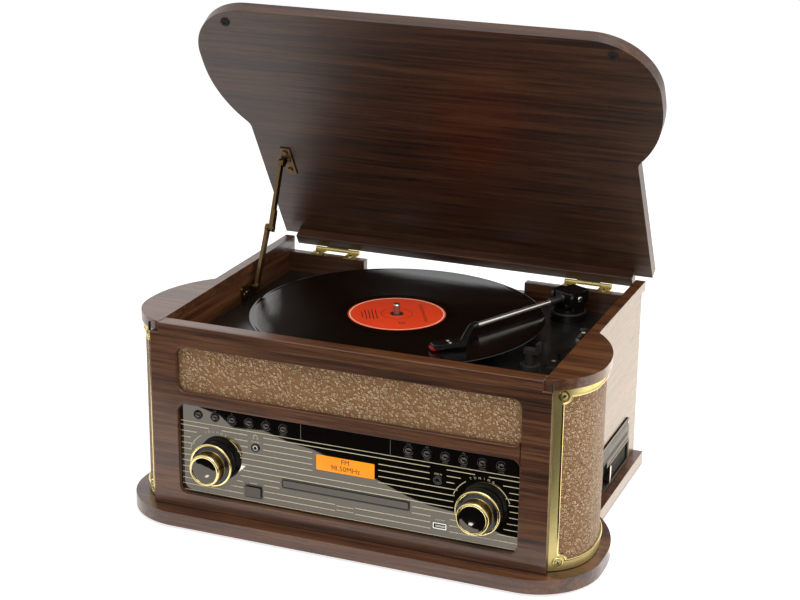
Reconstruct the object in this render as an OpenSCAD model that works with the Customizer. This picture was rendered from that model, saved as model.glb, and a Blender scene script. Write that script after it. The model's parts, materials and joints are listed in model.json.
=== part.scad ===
// Stereo music centre: a wooden cabinet with a record player under its lid, a radio and
// disc player in its front, and a cassette deck in its right side.
// Millimetres, +Z up, +X to the viewer's right, +Y to the back. The origin is on the
// floor, under the middle of the whole object with its lid open.

/* [Cabinet] */
// Width of the front panel
panel_w = 410; // [398:1:440]
// Thickness of the front panel
panel_t = 16.5; // [14:0.5:20]
// Distance from the origin forward to the front panel's face
face_dist = 160; // [140:1:180]
// Depth from the front panel's face to the rear ends of the side panels
depth = 315; // [305:1:340]
// Height of the cap boards' top above the floor
body_h = 209.4; // [200:0.2:240]
// Inner width of the record well
inner_w = 392; // [380:1:400]
// Thickness of a side panel
side_t = 7.5; // [6:0.5:12]
// Thickness of a cap board
cap_t = 10; // [8:0.5:14]
// Overhang of a cap board past its side panel
cap_lip = 3.25; // [2:0.25:6]
// Thickness of the plinth
plinth_t = 14.4; // [10:0.2:18]
// Height of the rubber feet
foot_h = 3; // [2:0.5:8]
// Radius of a foot
foot_r = 9; // [6:0.5:14]

/* [Rounded corners] */
// How far a corner lobe reaches past the cap board's straight side
lobe_out = 31.75; // [24:0.25:40]
// Radius of a lobe's front arc
lobe_r = 60; // [45:1:70]
// Radius of a lobe's rear flank
flank_r = 115; // [100:1:130]
// Centre of the flank arc behind the panel's face
flank_back = 64; // [62:1:70]
// Radius in the hollow corner behind a lobe
cove_r = 6; // [3:1:12]
// Overhang of the plinth at its sides
plinth_over = 6.5; // [4:0.5:10]
// Overhang of the plinth in front
plinth_front = 17; // [12:1:24]

/* [Lid] */
// Thickness of the lid board
lid_t = 13; // [10:0.5:16]
// Overhang of the lid at its sides
lid_over = 4.5; // [2:0.5:8]
// Overhang of the lid in front
lid_front = 13.6; // [6:0.1:16]
// Gap under the closed lid, held by its bumpers
lid_gap = 1.7; // [1.5:0.1:3]
// Distance of the lid's rear edge from the cabinet's rear
lid_inset = 3.9; // [0:0.1:6]
// Opening angle of the lid
lid_angle = 58.8; // [40:0.2:75]
// Width of the batten along the lid's rear edge
batten_w = 12.6; // [10:0.2:16]
// Depth of the batten under the lid
batten_d = 12.4; // [10:0.2:13]
// How far the batten stands behind the lid's edge
batten_back = 4; // [0:0.5:5]
// Gap between the batten's ends and the side walls
batten_gap = 3.2; // [2:0.2:6]
// Radius of a bumper under the lid
bumper_r = 4.8; // [3:0.2:7]

/* [Hinges] */
// Length of a hinge
hinge_l = 52; // [40:1:70]
// Distance of a hinge from the middle
hinge_x = 144.5; // [130:0.5:150]
// Thickness of a hinge leaf
leaf_t = 1.2; // [0.8:0.1:1.6]
// Outer radius of the hinge barrel
barrel_r = 2.2; // [2:0.1:2.3]
// Radius of the hinge pin
pin_r = 1; // [0.8:0.1:1.3]
// Length of a hinge knuckle at each end
knuckle_l = 13; // [8:1:16]
// Running clearance of a round fit
run_gap = 0.05; // [0.02:0.01:0.1]
// Clearance between pieces that pass each other
pass_gap = 0.3; // [0.2:0.05:0.5]

/* [Lid stay] */
// Height of the stay's lower pivot above the floor
stay_low_z = 183.7; // [180:0.1:190]
// Distance of the stay's lower pivot behind the origin
stay_low_y = 46; // [30:0.5:50]
// Length of the stay's lower arm
stay_low_l = 64.4; // [60:0.1:80]
// Length of the stay's upper arm
stay_up_l = 71.6; // [60:0.1:80]
// Distance of the stay's upper pivot from the lid's rear edge
stay_up_s = 116.3; // [100:0.1:130]
// Depth of the stay's upper pivot under the lid
stay_up_d = 4; // [3.5:0.1:8]
// Width of a stay arm
stay_w = 7; // [5:0.5:7]
// Radius of the eyes at the stay's elbow
stay_eye_r = 4.6; // [4:0.1:4.8]
// Thickness of a stay arm
stay_t = 3.6; // [2:0.2:4]
// Gap between the side wall and the stay's plates
stay_wall = 2; // [1:0.5:4]

/* [Front panel] */
// Width of both windows in the front panel
window_w = 353; // [340:1:360]
// Corner radius of the windows
window_r = 8.5; // [4:0.5:12]
// Bottom of the control window above the floor
fascia_z = 32.4; // [28:0.2:40]
// Height of the control window
fascia_h = 95.5; // [85:0.5:100]
// Bottom of the speaker window above the floor
cloth_z = 141.1; // [136:0.1:150]
// Height of the speaker window
cloth_h = 46.3; // [40:0.1:50]
// Depth of the fascia and of the cloth behind the panel's face
recess = 6; // [4:0.5:8]
// Width of the rebate behind each window
rebate = 5; // [3:0.5:5]
// Thickness of the fascia
fascia_t = 3; // [2:0.5:4]

/* [Controls] */
// Height of the push buttons above the floor
button_z = 117; // [112:0.5:122]
// Distance of the first push button from the middle
button_x = 65; // [60:0.5:70]
// Distance of the outermost push buttons from the control window's ends
button_edge = 19.5; // [18:0.5:24]
// Radius of a push button
button_r = 3.8; // [3:0.1:5]
// How far a push button stands out of the fascia
button_out = 2.4; // [2:0.1:4]
// Number of push buttons on each side
button_n = 6; // [6:1:6]
// Distance of a knob from the control window's end
knob_edge = 38; // [34:0.5:44]
// Height of the knobs above the floor
knob_z = 70.2; // [66:0.2:76]
// Radius of a knob's base
knob_r = 22; // [18:0.5:26]
// How far a knob's first ring stands out past its base
knob_ring = 0.6; // [0:0.1:1]
// Radius of a knob's front step
knob_front_r = 16; // [12:0.2:17]
// Depth of a knob's base in front of the fascia
knob_base_d = 11.5; // [8:0.5:14]
// Depth of a whole knob in front of the fascia
knob_d = 26; // [20:0.5:32]
// Distance of the power button and the memory stick's socket from the middle
corner_x = 97.7; // [92:0.5:100]
// Height of the power button and the memory stick's socket above the floor
corner_z = 45; // [42:0.2:48]
// Width of the power button
power_w = 16.4; // [12:0.2:20]
// Height of the power button
power_h = 10.3; // [8:0.1:12]
// Distance of the audio sockets from the middle
jack_x = 95; // [88:1:98]
// Height of the audio sockets above the floor
jack_z = 92; // [89:0.5:96]
// Radius of the bore of an audio socket
jack_r = 1.8; // [1.7:0.05:2]
// Width of the display's window
lcd_w = 61; // [50:1:80]
// Height of the display's window
lcd_h = 16.2; // [12:0.2:20]
// Height of the display's middle above the floor
lcd_z = 88.6; // [84:0.2:92]

/* [Disc drawer] */
// Width of the disc drawer's front
tray_w = 130.6; // [128:0.2:140]
// Height of the disc drawer's front
tray_h = 6.8; // [6:0.2:10]
// Height of the disc drawer's middle above the floor
tray_z = 59.7; // [56:0.1:62]
// Depth of the disc drawer
tray_d = 132; // [130:1:145]
// Radius of the disc's seat
disc_r = 60.5; // [60.5:0.1:62]

/* [Cassette deck] */
// Front edge of the cassette plate behind the panel's face
tape_back = 175; // [165:1:180]
// Length of the cassette plate
tape_l = 109; // [108:1:114]
// Height of the cassette plate
tape_h = 51; // [46:0.5:56]
// Thickness of the cassette plate
tape_t = 1.6; // [1.2:0.1:3]
// Length of the cassette slot
slot_l = 65; // [64.5:0.5:66]
// Height of the cassette slot
slot_h = 20; // [15:0.5:22]
// Depth of the cassette bay
slot_d = 104; // [102:1:110]

/* [Turntable] */
// Radius of the record
record_r = 150.5; // [150:0.1:151]
// Thickness of the record
record_t = 1.8; // [1.2:0.1:2]
// Height of the record's top above the floor
record_z = 189.8; // [187:0.1:191]
// Distance of the spindle left of the middle
spindle_left = 13.4; // [10:0.2:18]
// Distance of the spindle behind the origin
spindle_y = 8.3; // [8:0.1:12]
// Radius of the spindle
spindle_r = 3.57; // [3.5:0.01:3.6]
// Height of the spindle above the record
spindle_out = 10.5; // [8:0.5:14]
// Radius of the platter
platter_r = 100; // [90:1:110]
// Thickness of the platter's rim
platter_h = 11; // [10:0.5:12]
// Height of the deck's top above the floor
deck_z = 173; // [170:0.5:175]
// Thickness of the deck
deck_t = 3; // [2.5:0.5:4]
// Radius of the belt's drive ring under the platter
ring_r = 60; // [50:1:70]
// Radius of the motor pulley
pulley_r = 5; // [4:0.5:7]

/* [Tonearm] */
// Distance of the arm's pivot right of the middle
arm_x = 137; // [130:1:145]
// Distance of the arm's pivot behind the origin
arm_y = 112; // [105:1:118]
// Height of the arm's tube above the floor
arm_z = 197; // [195:0.5:199]
// Angle of the arm from straight ahead
arm_angle = 25; // [20:0.5:28]
// Distance from the pivot to the front end of the tube
arm_l = 141; // [135:1:150]
// Radius of the tube
arm_r = 2.6; // [2:0.1:3.5]
// Distance of the neck's end to the right of the tube's line
neck_side = 20; // [12:0.5:22]
// Distance from the pivot to the headshell
neck_l = 175.5; // [170:0.5:180]
// Angle of the headshell from the tube
head_angle = 22; // [15:1:26]
// Length of the headshell
head_l = 32; // [28:0.5:36]
// Width of the headshell
head_w = 13; // [12:0.5:18]

/* [Hidden] */

$fn = 96;
cut = 1;                                // how far a cutter runs past a face
bite = 0.03;                            // how far two smoothly joined edges cross
walnut = [0.30, 0.19, 0.12];
dark_walnut = [0.22, 0.13, 0.08];
brass = [0.78, 0.68, 0.38];
tan_cloth = [0.60, 0.45, 0.33];
black = [0.05, 0.05, 0.05];
silver = [0.75, 0.75, 0.75];

// Cabinet
face_y = -face_dist;
rear_y = face_y + depth;
plinth_top = foot_h + plinth_t;
cap_z = body_h - cap_t;
half_in = inner_w / 2;
side_x = half_in + side_t;
cap_x = side_x + cap_lip;
lobe_x = cap_x + lobe_out;
lobe_cx = lobe_x - lobe_r;
flank_cx = lobe_x - flank_r;
flank_cy = face_y + flank_back;
wall_h = cap_z - plinth_top;
rear_t = 10;                            // thickness of the rear panel
rear_in = 4.5;                          // depth of the rear panel inside the side panels
rear_front = rear_y - rear_in - rear_t;
rear_top = 195;                         // height of the blocks that carry the hinges
notch_w = 185;                          // width of the notch that the record overhangs
notch_z = 183;
well_y = face_y + panel_t;
cleat = 8;                              // size of the strips that carry the deck

// Columns with their grilles
shell_in = 3.5;                         // depth of the grille frame inside the cap's edge
column_y = face_y + 1 + lobe_r - shell_in;
frame_t = 1.4;
grille_t = 1;
shell_t = 3;
grille_gap = 0.8;                       // gap of the grille from the plinth and the cap
border = 6.8;                           // width of the frame's upright bars
border_top = 6.4;
border_low = 9.5;
boss_notch = 7.6;
boss_top = 5.6;                         // distance of the upper boss from the cap
boss_low = 8.3;
flank_end = 126;                        // rear end of the grille's window
speaker_r = 35;
speaker_back = 84;
speaker_z = 106;

// Lid
hinge_y = rear_y + 2.5;
lid_z = body_h + lid_gap;
lid_rear = rear_y - lid_inset;
batten_z = lid_z - batten_d;
hinge_z = batten_z - 1;
bumper_x = 201;
bumper_s = 308.5;                       // distance of the bumpers from the lid's rear edge

// Stay: the elbow is where the two arms meet with the lid open
stay_x = -(half_in - stay_wall);
stay_up_y = lid_rear - stay_up_s;
stay_up_z = lid_z - stay_up_d;
stay_top = about_hinge([stay_up_y, stay_up_z], lid_angle);
stay_low = [stay_low_y, stay_low_z];
stay_span = norm(stay_top - stay_low);
stay_along = (stay_low_l * stay_low_l - stay_up_l * stay_up_l + stay_span * stay_span)
    / (2 * stay_span);
stay_off = sqrt(max(0, stay_low_l * stay_low_l - stay_along * stay_along));
stay_dir = (stay_top - stay_low) / stay_span;
elbow = stay_low + stay_along * stay_dir + stay_off * [stay_dir[1], -stay_dir[0]];
lower_arm_x = stay_x + stay_t;          // middle of the lower arm
upper_arm_x = lower_arm_x + stay_t + pass_gap;
rivet_r = 2.2;

// Front
knob_x = window_w / 2 - knob_edge;
button_step = (window_w / 2 - button_edge - button_x) / (button_n - 1);
fascia_y = face_y + recess;
fascia_back = fascia_y + fascia_t;
board_y = face_y + 30;                  // front of the control board
board_t = 1.6;
shaft_r = 3;

// Turntable
spindle_x = -spindle_left;
bearing_r = 4;                          // radius of the platter's shaft in the deck
spindle_neck_r = spindle_r - 0.4;       // radius of the spindle inside the record that lies on it
record_low = record_z - record_t;
mat_t = 1.2;
platter_top = record_low - mat_t;
platter_low = platter_top - platter_h;
platter_disc = 4;
pulley_dist = 82;
pulley_angle = 200;                     // where the motor stands round the spindle
pulley_x = spindle_x + pulley_dist * cos(pulley_angle);
pulley_y = spindle_y + pulley_dist * sin(pulley_angle);
deck_low = deck_z - deck_t;
deck_clear = 0.4;                       // gap round the deck in its well

// Tonearm
base_r = 19;
base_h = 9;
ear_y = 13.5;                           // middle of a turret's ear from the arm's line
ear_t = 3;
ear_l = 22;
ear_top = 204;
turret_r = 15.5;
turret_z = deck_z + base_h + pass_gap;
neck_drop = 3;
head_z = arm_z - neck_drop;
rest_x = 145.5;
rest_y = -40;
rest_top = 191.6;
cue_x = 170;
cue_y = 62;
speed_x = 172;
speed_y = -6;

// Cassette deck
tape_y = face_y + tape_back;
tape_z = plinth_top + 0.8;
slot_y = tape_y + tape_l - slot_l - 2.5;
slot_z = tape_z + 4;
flap_t = 1.6;
flap_gap = 0.35;
flap_pin_r = 1;
tape_wall = 2;
lever_y = slot_y - tape_wall - 4.1;                   // front of the eject lever

// Rear
term_x = 96;
term_z = 100;
term_w = 110;
term_h = 56;

// Turns a point of the closed lid, [y, z], about the hinge by an opening angle
function about_hinge(p, a) = [
    hinge_y + (p[0] - hinge_y) * cos(a) + (p[1] - hinge_z) * sin(a),
    hinge_z - (p[0] - hinge_y) * sin(a) + (p[1] - hinge_z) * cos(a)
];

// ---------- helpers ----------

// A plate in the XZ plane, from y0 back by t
module along_y(y0, t) {
    translate([0, y0 + t, 0]) rotate([90, 0, 0]) linear_extrude(t) children();
}

// A plate in the YZ plane, from x0 to the right by t
module along_x(x0, t) {
    translate([x0, 0, 0]) rotate([90, 0, 90]) linear_extrude(t) children();
}

// A round bar along Y from y0 back by l, at [x, z]
module bar_y(x, y0, z, r, l) {
    translate([x, y0, z]) rotate([-90, 0, 0]) cylinder(h = l, r = r);
}

// A round bar along X from x0 to the right by l, at [y, z]
module bar_x(x0, y, z, r, l) {
    translate([x0, y, z]) rotate([0, 90, 0]) cylinder(h = l, r = r);
}

// A rectangle about the origin with round corners
module round_rect(w, h, r) {
    square([w - 2 * r, h], center = true);
    square([w, h - 2 * r], center = true);
    for (x = [-1, 1], y = [-1, 1])
        translate([x * (w / 2 - r), y * (h / 2 - r)]) circle(r);
}

module both_sides() {
    children();
    mirror([1, 0, 0]) children();
}

// Right half of the outline shared by the plinth, the cap boards and the lid.
// grow widens it, front is the y of its front edge and back the y of its rear edge.
module lobed_half(grow, front, back, centre_y, fillet) {
    r1 = lobe_r + grow;
    r2 = flank_r + grow;
    x1 = cap_x + grow;
    fillet_x = x1 + fillet - bite;
    reach = r2 + fillet - bite;
    fillet_y = flank_cy + sqrt(pow(reach, 2) - pow(fillet_x - flank_cx, 2));
    inner = (r2 - cut) / reach;
    inner_x = flank_cx + (fillet_x - flank_cx) * inner;
    inner_y = flank_cy + (fillet_y - flank_cy) * inner;
    translate([0, front]) square([lobe_cx, back - front]);
    translate([0, centre_y]) square([x1, back - centre_y]);
    intersection() {
        translate([lobe_cx, centre_y]) circle(r1, $fn = 180);
        translate([0, centre_y - r1 - cut]) square([lobe_x + grow + cut, r1 + cut]);
    }
    translate([0, centre_y]) square([lobe_x + grow, flank_cy - centre_y]);
    intersection() {
        translate([flank_cx, flank_cy]) circle(r2, $fn = 180);
        translate([0, flank_cy]) square([lobe_x + grow + cut, r2 + cut]);
    }
    difference() {
        polygon([[x1 - cut, inner_y - cut], [inner_x, inner_y],
            [fillet_x, fillet_y], [x1 - cut, fillet_y]]);
        translate([fillet_x, fillet_y]) circle(fillet);
    }
}

// ---------- cabinet ----------

module plinth() {
    front = face_y - plinth_front;
    color(walnut) translate([0, 0, foot_h]) linear_extrude(plinth_t) both_sides()
        lobed_half(plinth_over, front, rear_y + 1.5, front + lobe_r + plinth_over, cove_r);
}

module feet() {
    foot_in = 34;
    color(black) both_sides() for (y = [face_y + foot_in, rear_y - foot_in])
        translate([side_x - foot_in, y, 0]) cylinder(h = foot_h, r = foot_r);
}

module window(z, h, grow) {
    translate([0, z + h / 2])
        round_rect(window_w + 2 * grow, h + 2 * grow, window_r + grow / 2);
}

module front_panel() {
    color(walnut) difference() {
        union() {
            translate([-panel_w / 2, face_y, plinth_top]) cube([panel_w, panel_t, wall_h]);
            translate([-half_in, face_y, cap_z]) cube([inner_w, panel_t, cap_t]);
        }
        along_y(face_y - cut, panel_t + 2 * cut) {
            window(fascia_z, fascia_h, 0);
            window(cloth_z, cloth_h, 0);
        }
        along_y(fascia_y, panel_t) {
            window(fascia_z, fascia_h, rebate);
            window(cloth_z, cloth_h, rebate);
        }
    }
}

module speaker_hole() {
    translate([face_y + speaker_back, speaker_z]) circle(speaker_r);
}

module side_outline() {
    translate([well_y, plinth_top]) square([rear_y - well_y, wall_h]);
}

module deck_cleat() {
    translate([half_in - cleat, well_y + 6, deck_low - cleat])
        cube([cleat + 0.5, rear_front - well_y - 12, cleat]);
}

module left_side_panel() {
    color(walnut) mirror([1, 0, 0]) {
        along_x(half_in, side_t) difference() {
            side_outline();
            speaker_hole();
        }
        deck_cleat();
    }
}

module right_side_panel() {
    color(walnut) {
        along_x(half_in, side_t) difference() {
            side_outline();
            speaker_hole();
            translate([slot_y - tape_wall - 0.3, slot_z - tape_wall - 0.3])
                square([slot_l + 2 * tape_wall + 0.6, slot_h + 2 * tape_wall + 0.6]);
            translate([tape_y + 10, tape_z + 3]) square([slot_y - tape_y - 12.3, 32]);
        }
        deck_cleat();
    }
}

module rear_panel() {
    vent_w = 2.4;
    color(dark_walnut) along_y(rear_front, rear_t) difference() {
        translate([-half_in, plinth_top]) square([inner_w, rear_top - plinth_top]);
        translate([spindle_x - notch_w / 2, notch_z]) square([notch_w, rear_top - notch_z + cut]);
        translate([term_x, term_z]) round_rect(term_w - 12, term_h - 12, 3);
        for (i = [0 : 9])
            translate([-120 + i * 8, 60]) square([vent_w, 40]);
    }
}

module cap_boards() {
    color(walnut) both_sides() translate([0, 0, cap_z]) linear_extrude(cap_t) difference() {
        lobed_half(0, face_y, rear_y, face_y + lobe_r, cove_r / 2);
        translate([-cut, face_y - cut]) square([half_in + cut, depth + 2 * cut]);
    }
}

// ---------- grilles ----------

// Outline of a column's outer face, set in by a depth
module column_half(inset) {
    r1 = lobe_r - shell_in - inset;
    r2 = flank_r - shell_in - inset;
    intersection() {
        translate([lobe_cx, column_y]) circle(r1, $fn = 180);
        translate([0, column_y - r1 - cut]) square([lobe_x, r1 + cut]);
    }
    translate([0, column_y]) square([lobe_cx + r1, flank_cy - column_y]);
    intersection() {
        translate([flank_cx, flank_cy]) circle(r2, $fn = 180);
        translate([0, flank_cy]) square([lobe_x, r2]);
    }
}

// The part of a column between the front panel and its meeting with the side panel
module column_band(inset, t) {
    difference() {
        column_half(inset);
        column_half(inset + t);
        translate([-cut, face_y - cut]) square([side_x + cut, depth]);
        translate([-cut, face_y - cut]) square([panel_w / 2 + cut, panel_t + cut]);
    }
}

module column_window(z0, z1, x0, y1) {
    translate([x0, face_y - 2 * cut, z0])
        cube([lobe_x, y1 - face_y + 2 * cut, z1 - z0]);
}

grille_low = plinth_top + grille_gap;
grille_high = cap_z - grille_gap;
window_low = grille_low + border_low;
window_high = grille_high - border_top;
window_x = panel_w / 2 + border;
window_y = face_y + flank_end;
boss_x = panel_w / 2 + 7.4;
boss_zs = [grille_low + boss_low, grille_high - boss_top];

module grille_shells() {
    color(black) both_sides() difference() {
        translate([0, 0, grille_low]) linear_extrude(grille_high - grille_low)
            column_band(frame_t + grille_t, shell_t);
        column_window(window_low + 4, window_high - 4, window_x + 3, window_y - 4);
    }
}

module grille_cloths() {
    color(tan_cloth) both_sides() translate([0, 0, grille_low])
        linear_extrude(grille_high - grille_low) column_band(frame_t, grille_t);
}

module grille_frames() {
    color(brass) both_sides() difference() {
        translate([0, 0, grille_low]) linear_extrude(grille_high - grille_low)
            column_band(0, frame_t);
        difference() {
            column_window(window_low, window_high, window_x, window_y);
            for (z = boss_zs)
                bar_y(boss_x, face_y - cut, z, boss_notch, lobe_r / 2);
        }
    }
}

module front_speaker_cloth() {
    color(tan_cloth) along_y(fascia_y, grille_t) window(cloth_z, cloth_h, rebate - 0.3);
}

module speaker_drivers() {
    y = face_y + speaker_back;
    color(black) both_sides() translate([side_x, y, speaker_z]) rotate([0, 90, 0]) difference() {
        union() {
            cylinder(h = 3, r = speaker_r + 5);
            translate([0, 0, -18]) cylinder(h = 18, r = speaker_r - 1);
            translate([0, 0, -32]) cylinder(h = 14.5, r = 24);
        }
        translate([0, 0, -9]) cylinder(h = 12 + cut, r1 = 12, r2 = speaker_r - 3);
    }
}

// Small screws, two on each grille frame, square to its curved face
module screws() {
    head = 1.6;
    head_r = 3.4;
    seat = 0.02;
    face_r = lobe_r - shell_in;
    color(brass) both_sides() for (z = boss_zs)
        translate([lobe_cx, column_y, z]) rotate([0, 0, asin((boss_x - lobe_cx) / face_r)])
            bar_y(0, -face_r - seat - head, 0, head_r, head);
}

// ---------- fascia and controls ----------

function button_pos(i) = i < button_n
    ? -(button_x + (button_n - 1 - i) * button_step)
    : button_x + (i - button_n) * button_step;

module fascia() {
    fit = 0.3;
    color(black) difference() {
        along_y(fascia_y, fascia_t) difference() {
            window(fascia_z, fascia_h, rebate - fit);
            for (i = [0 : 2 * button_n - 1])
                translate([button_pos(i), button_z]) circle(button_r + 0.25);
            translate([0, lcd_z]) round_rect(lcd_w, lcd_h, 1);
            translate([0, tray_z]) round_rect(tray_w + 0.8, tray_h + 0.8, 1);
            translate([-corner_x, corner_z]) round_rect(power_w + 0.6, power_h + 0.6, 1.2);
            translate([corner_x, corner_z]) round_rect(13.2, 5.8, 0.5);
            for (x = [-1, 1]) {
                translate([x * jack_x, jack_z]) circle(3.1);
                translate([x * knob_x, knob_z]) circle(shaft_r + 0.6);
            }
        }
    }
}

// Circuit board behind the fascia, with the display, switches and knob encoders on it
module display_board() {
    board_low = lcd_z - 12.6;
    board_top = button_z + 7;
    board_w = window_w - 23;
    wing_w = 55;
    wing_low = knob_z - 29;
    color([0.10, 0.30, 0.15]) along_y(board_y, board_t) difference() {
        union() {
            translate([-board_w / 2, board_low]) square([board_w, board_top - board_low]);
            for (x = [-board_w / 2, board_w / 2 - wing_w])
                translate([x, wing_low]) square([wing_w, board_top - wing_low]);
        }
        for (x = [-1, 1]) translate([x * knob_x, knob_z]) circle(shaft_r + 0.5);
    }
    color("orange") translate([0, fascia_y + 1, lcd_z])
        translate([-lcd_w / 2 + 0.2, 0, -lcd_h / 2 + 0.2])
            cube([lcd_w - 0.4, board_y - fascia_y - 1, lcd_h - 0.4]);
    color(silver) for (i = [0 : 2 * button_n - 1])
        translate([button_pos(i) - 3, board_y - 7, button_z - 3]) cube([6, 7, 6]);
    color(silver) both_sides() difference() {
        translate([knob_x - 7, fascia_back, knob_z - 7]) cube([14, board_y - fascia_back, 14]);
        bar_y(knob_x, fascia_back - cut, knob_z, shaft_r + run_gap, board_y - fascia_back + 2 * cut);
    }
}

module front_sockets() {
    color(silver) {
        both_sides() difference() {
            union() {
                translate([jack_x - 4, fascia_back, jack_z - 4]) cube([8, 14, 8]);
                bar_y(jack_x, fascia_y - 0.8, jack_z, 3, fascia_t + 1.2);
                bar_y(jack_x, fascia_y - 0.8, jack_z, 4.2, 0.6);
            }
            bar_y(jack_x, fascia_y - 2, jack_z, jack_r, 16);
        }
        translate([corner_x, fascia_y - 0.3, corner_z]) difference() {
            translate([-6.5, 0, -2.8]) cube([13, 17, 5.6]);
            translate([-6, -cut, -2.3]) cube([12, 15, 4.6]);
        }
    }
}

// Knob axis at the origin, its seat on the fascia at y = 0, its face towards -Y
module knob() {
    gap = 0.4;
    color(black) rotate([90, 0, 0]) {
        translate([0, 0, gap]) cylinder(h = knob_base_d - gap - 1, r = knob_r);
        translate([0, 0, knob_base_d - 2.4]) cylinder(h = 2.4, r = knob_r + knob_ring);
        translate([0, 0, gap]) cylinder(h = knob_d - gap - 0.4, r = knob_front_r);
        translate([0, 0, knob_d - 2.4]) cylinder(h = 2.4, r = knob_front_r + 0.4);
        translate([0, 0, -(board_y - fascia_y) + 2])
            cylinder(h = board_y - fascia_y + 2, r = shaft_r);
    }
}

module volume_knob() {
    translate([-knob_x, fascia_y, knob_z]) knob();
}

module tuning_knob() {
    translate([knob_x, fascia_y, knob_z]) knob();
}

module push_button(i) {
    flange = 1;
    color(black) {
        bar_y(button_pos(i), fascia_y - button_out, button_z, button_r,
            button_out + fascia_t + 0.2 + flange);
        bar_y(button_pos(i), fascia_back + 0.2, button_z, button_r + 1.2, flange);
        bar_y(button_pos(i), fascia_back + 0.2, button_z, 2, board_y - 7 - 2.2 - fascia_back);
    }
}

module power_button() {
    color(black) {
        along_y(fascia_y - 2, fascia_t + 2 + 1.2) translate([-corner_x, corner_z])
            round_rect(power_w, power_h, 1);
        along_y(fascia_back + 0.2, 1) translate([-corner_x, corner_z])
            round_rect(power_w + 3, power_h + 3, 1);
    }
}

// ---------- disc drawer ----------

module disc_drawer() {
    color(black) difference() {
        union() {
            along_y(fascia_y - 0.6, fascia_t) translate([0, tray_z])
                round_rect(tray_w, tray_h, 0.8);
            translate([-tray_w / 2 + 1.5, fascia_y + 2, tray_z - 2.6])
                cube([tray_w - 3, tray_d, 5]);
        }
        translate([0, fascia_y + 5 + disc_r, tray_z - 0.2]) cylinder(h = 10, r = disc_r);
        translate([-11, fascia_y + 5 + disc_r / 2, tray_z - 5])
            cube([22, tray_d, 10]);
    }
}

module disc_loader() {
    loader_w = tray_w + 14;
    y0 = fascia_back + 0.4;
    color(silver) difference() {
        translate([-loader_w / 2, y0, tray_z - 20]) cube([loader_w, tray_d + 12, 28]);
        translate([-tray_w / 2 + 1.2, y0 - cut, tray_z - 2.9])
            cube([tray_w - 2.4, tray_d + 6, 5.6]);
    }
    // Legs down to the plinth
    color(silver) for (x = [-60, 60], y = [y0 + 12, y0 + tray_d])
        translate([x, y, plinth_top]) cylinder(h = tray_z - 20 - plinth_top, r = 4);
}

// ---------- cassette deck ----------

// Plate with the cassette slot, a finger recess in front and the eject lever's opening
module cassette_plate() {
    finger_y = tape_y + 12.5;
    finger_l = 15;
    color([0.55, 0.54, 0.50]) along_x(side_x, tape_t) difference() {
        translate([tape_y + tape_l / 2, tape_z + tape_h / 2]) round_rect(tape_l, tape_h, 5);
        translate([slot_y, slot_z]) square([slot_l, slot_h]);
        translate([finger_y, tape_z + 3.5]) square([finger_l, 28]);
        translate([lever_y - 8, slot_z]) square([12.5, slot_h]);
    }
    color(black) along_x(side_x - 9, 1.5) translate([tape_y + 10.5, tape_z + 3.5])
        square([slot_y - tape_y - 21.5, 31]);
    color(black) for (z = [tape_z + 3.5, tape_z + 33])
        translate([side_x - 9, tape_y + 10.5, z]) cube([9 + 0.5, slot_y - tape_y - 21.5, 1.5]);
}

flap_axis_x = side_x - 1.6;
flap_axis_z = slot_z + slot_h - 2.2;

module cassette_mechanism() {
    x0 = side_x - slot_d - 14;
    w = slot_l + 2 * tape_wall;
    h = slot_h + 2 * tape_wall;
    color(silver) difference() {
        translate([x0, slot_y - tape_wall, slot_z - tape_wall]) cube([side_x - x0, w, h]);
        translate([x0 + 14, slot_y, slot_z]) cube([slot_d + 2, slot_l, slot_h]);
        bar_y(flap_axis_x, slot_y - tape_wall - cut, flap_axis_z, flap_pin_r + run_gap,
            w + 2 * cut);
    }
    // Guides for the eject lever on the bay's side
    color(silver) for (z = [slot_z - 2, slot_z + slot_h - 0.9])
        translate([side_x - 24, lever_y - 1, z]) cube([14, 5.6, 2.9]);
    // Motor on the bay, and a foot under it
    color(black) {
        translate([x0 + 6, slot_y + 12, plinth_top])
            cube([40, slot_l - 24, slot_z - tape_wall - plinth_top + 0.5]);
        translate([x0 + 24, slot_y + slot_l / 2, slot_z + slot_h + tape_wall - 0.5])
            cylinder(h = 18, r = 16);
    }
}

module cassette_flap() {
    l = slot_l - 2 * flap_gap;
    color(black) {
        translate([flap_axis_x - flap_t / 2, slot_y + flap_gap, slot_z + flap_gap])
            cube([flap_t, l, flap_axis_z - slot_z - flap_gap]);
        bar_y(flap_axis_x, slot_y + flap_gap, flap_axis_z, 1.8, l);
        bar_y(flap_axis_x, slot_y - tape_wall + 0.3, flap_axis_z, flap_pin_r,
            slot_l + 2 * tape_wall - 0.6);
    }
}

module eject_lever() {
    color(silver) {
        translate([side_x - 16, lever_y, slot_z + 1]) cube([19, 4, slot_h - 2]);
        translate([side_x - 16, lever_y - 5, slot_z + 5]) cube([4, 9, slot_h - 10]);
    }
}

// ---------- turntable ----------

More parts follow.
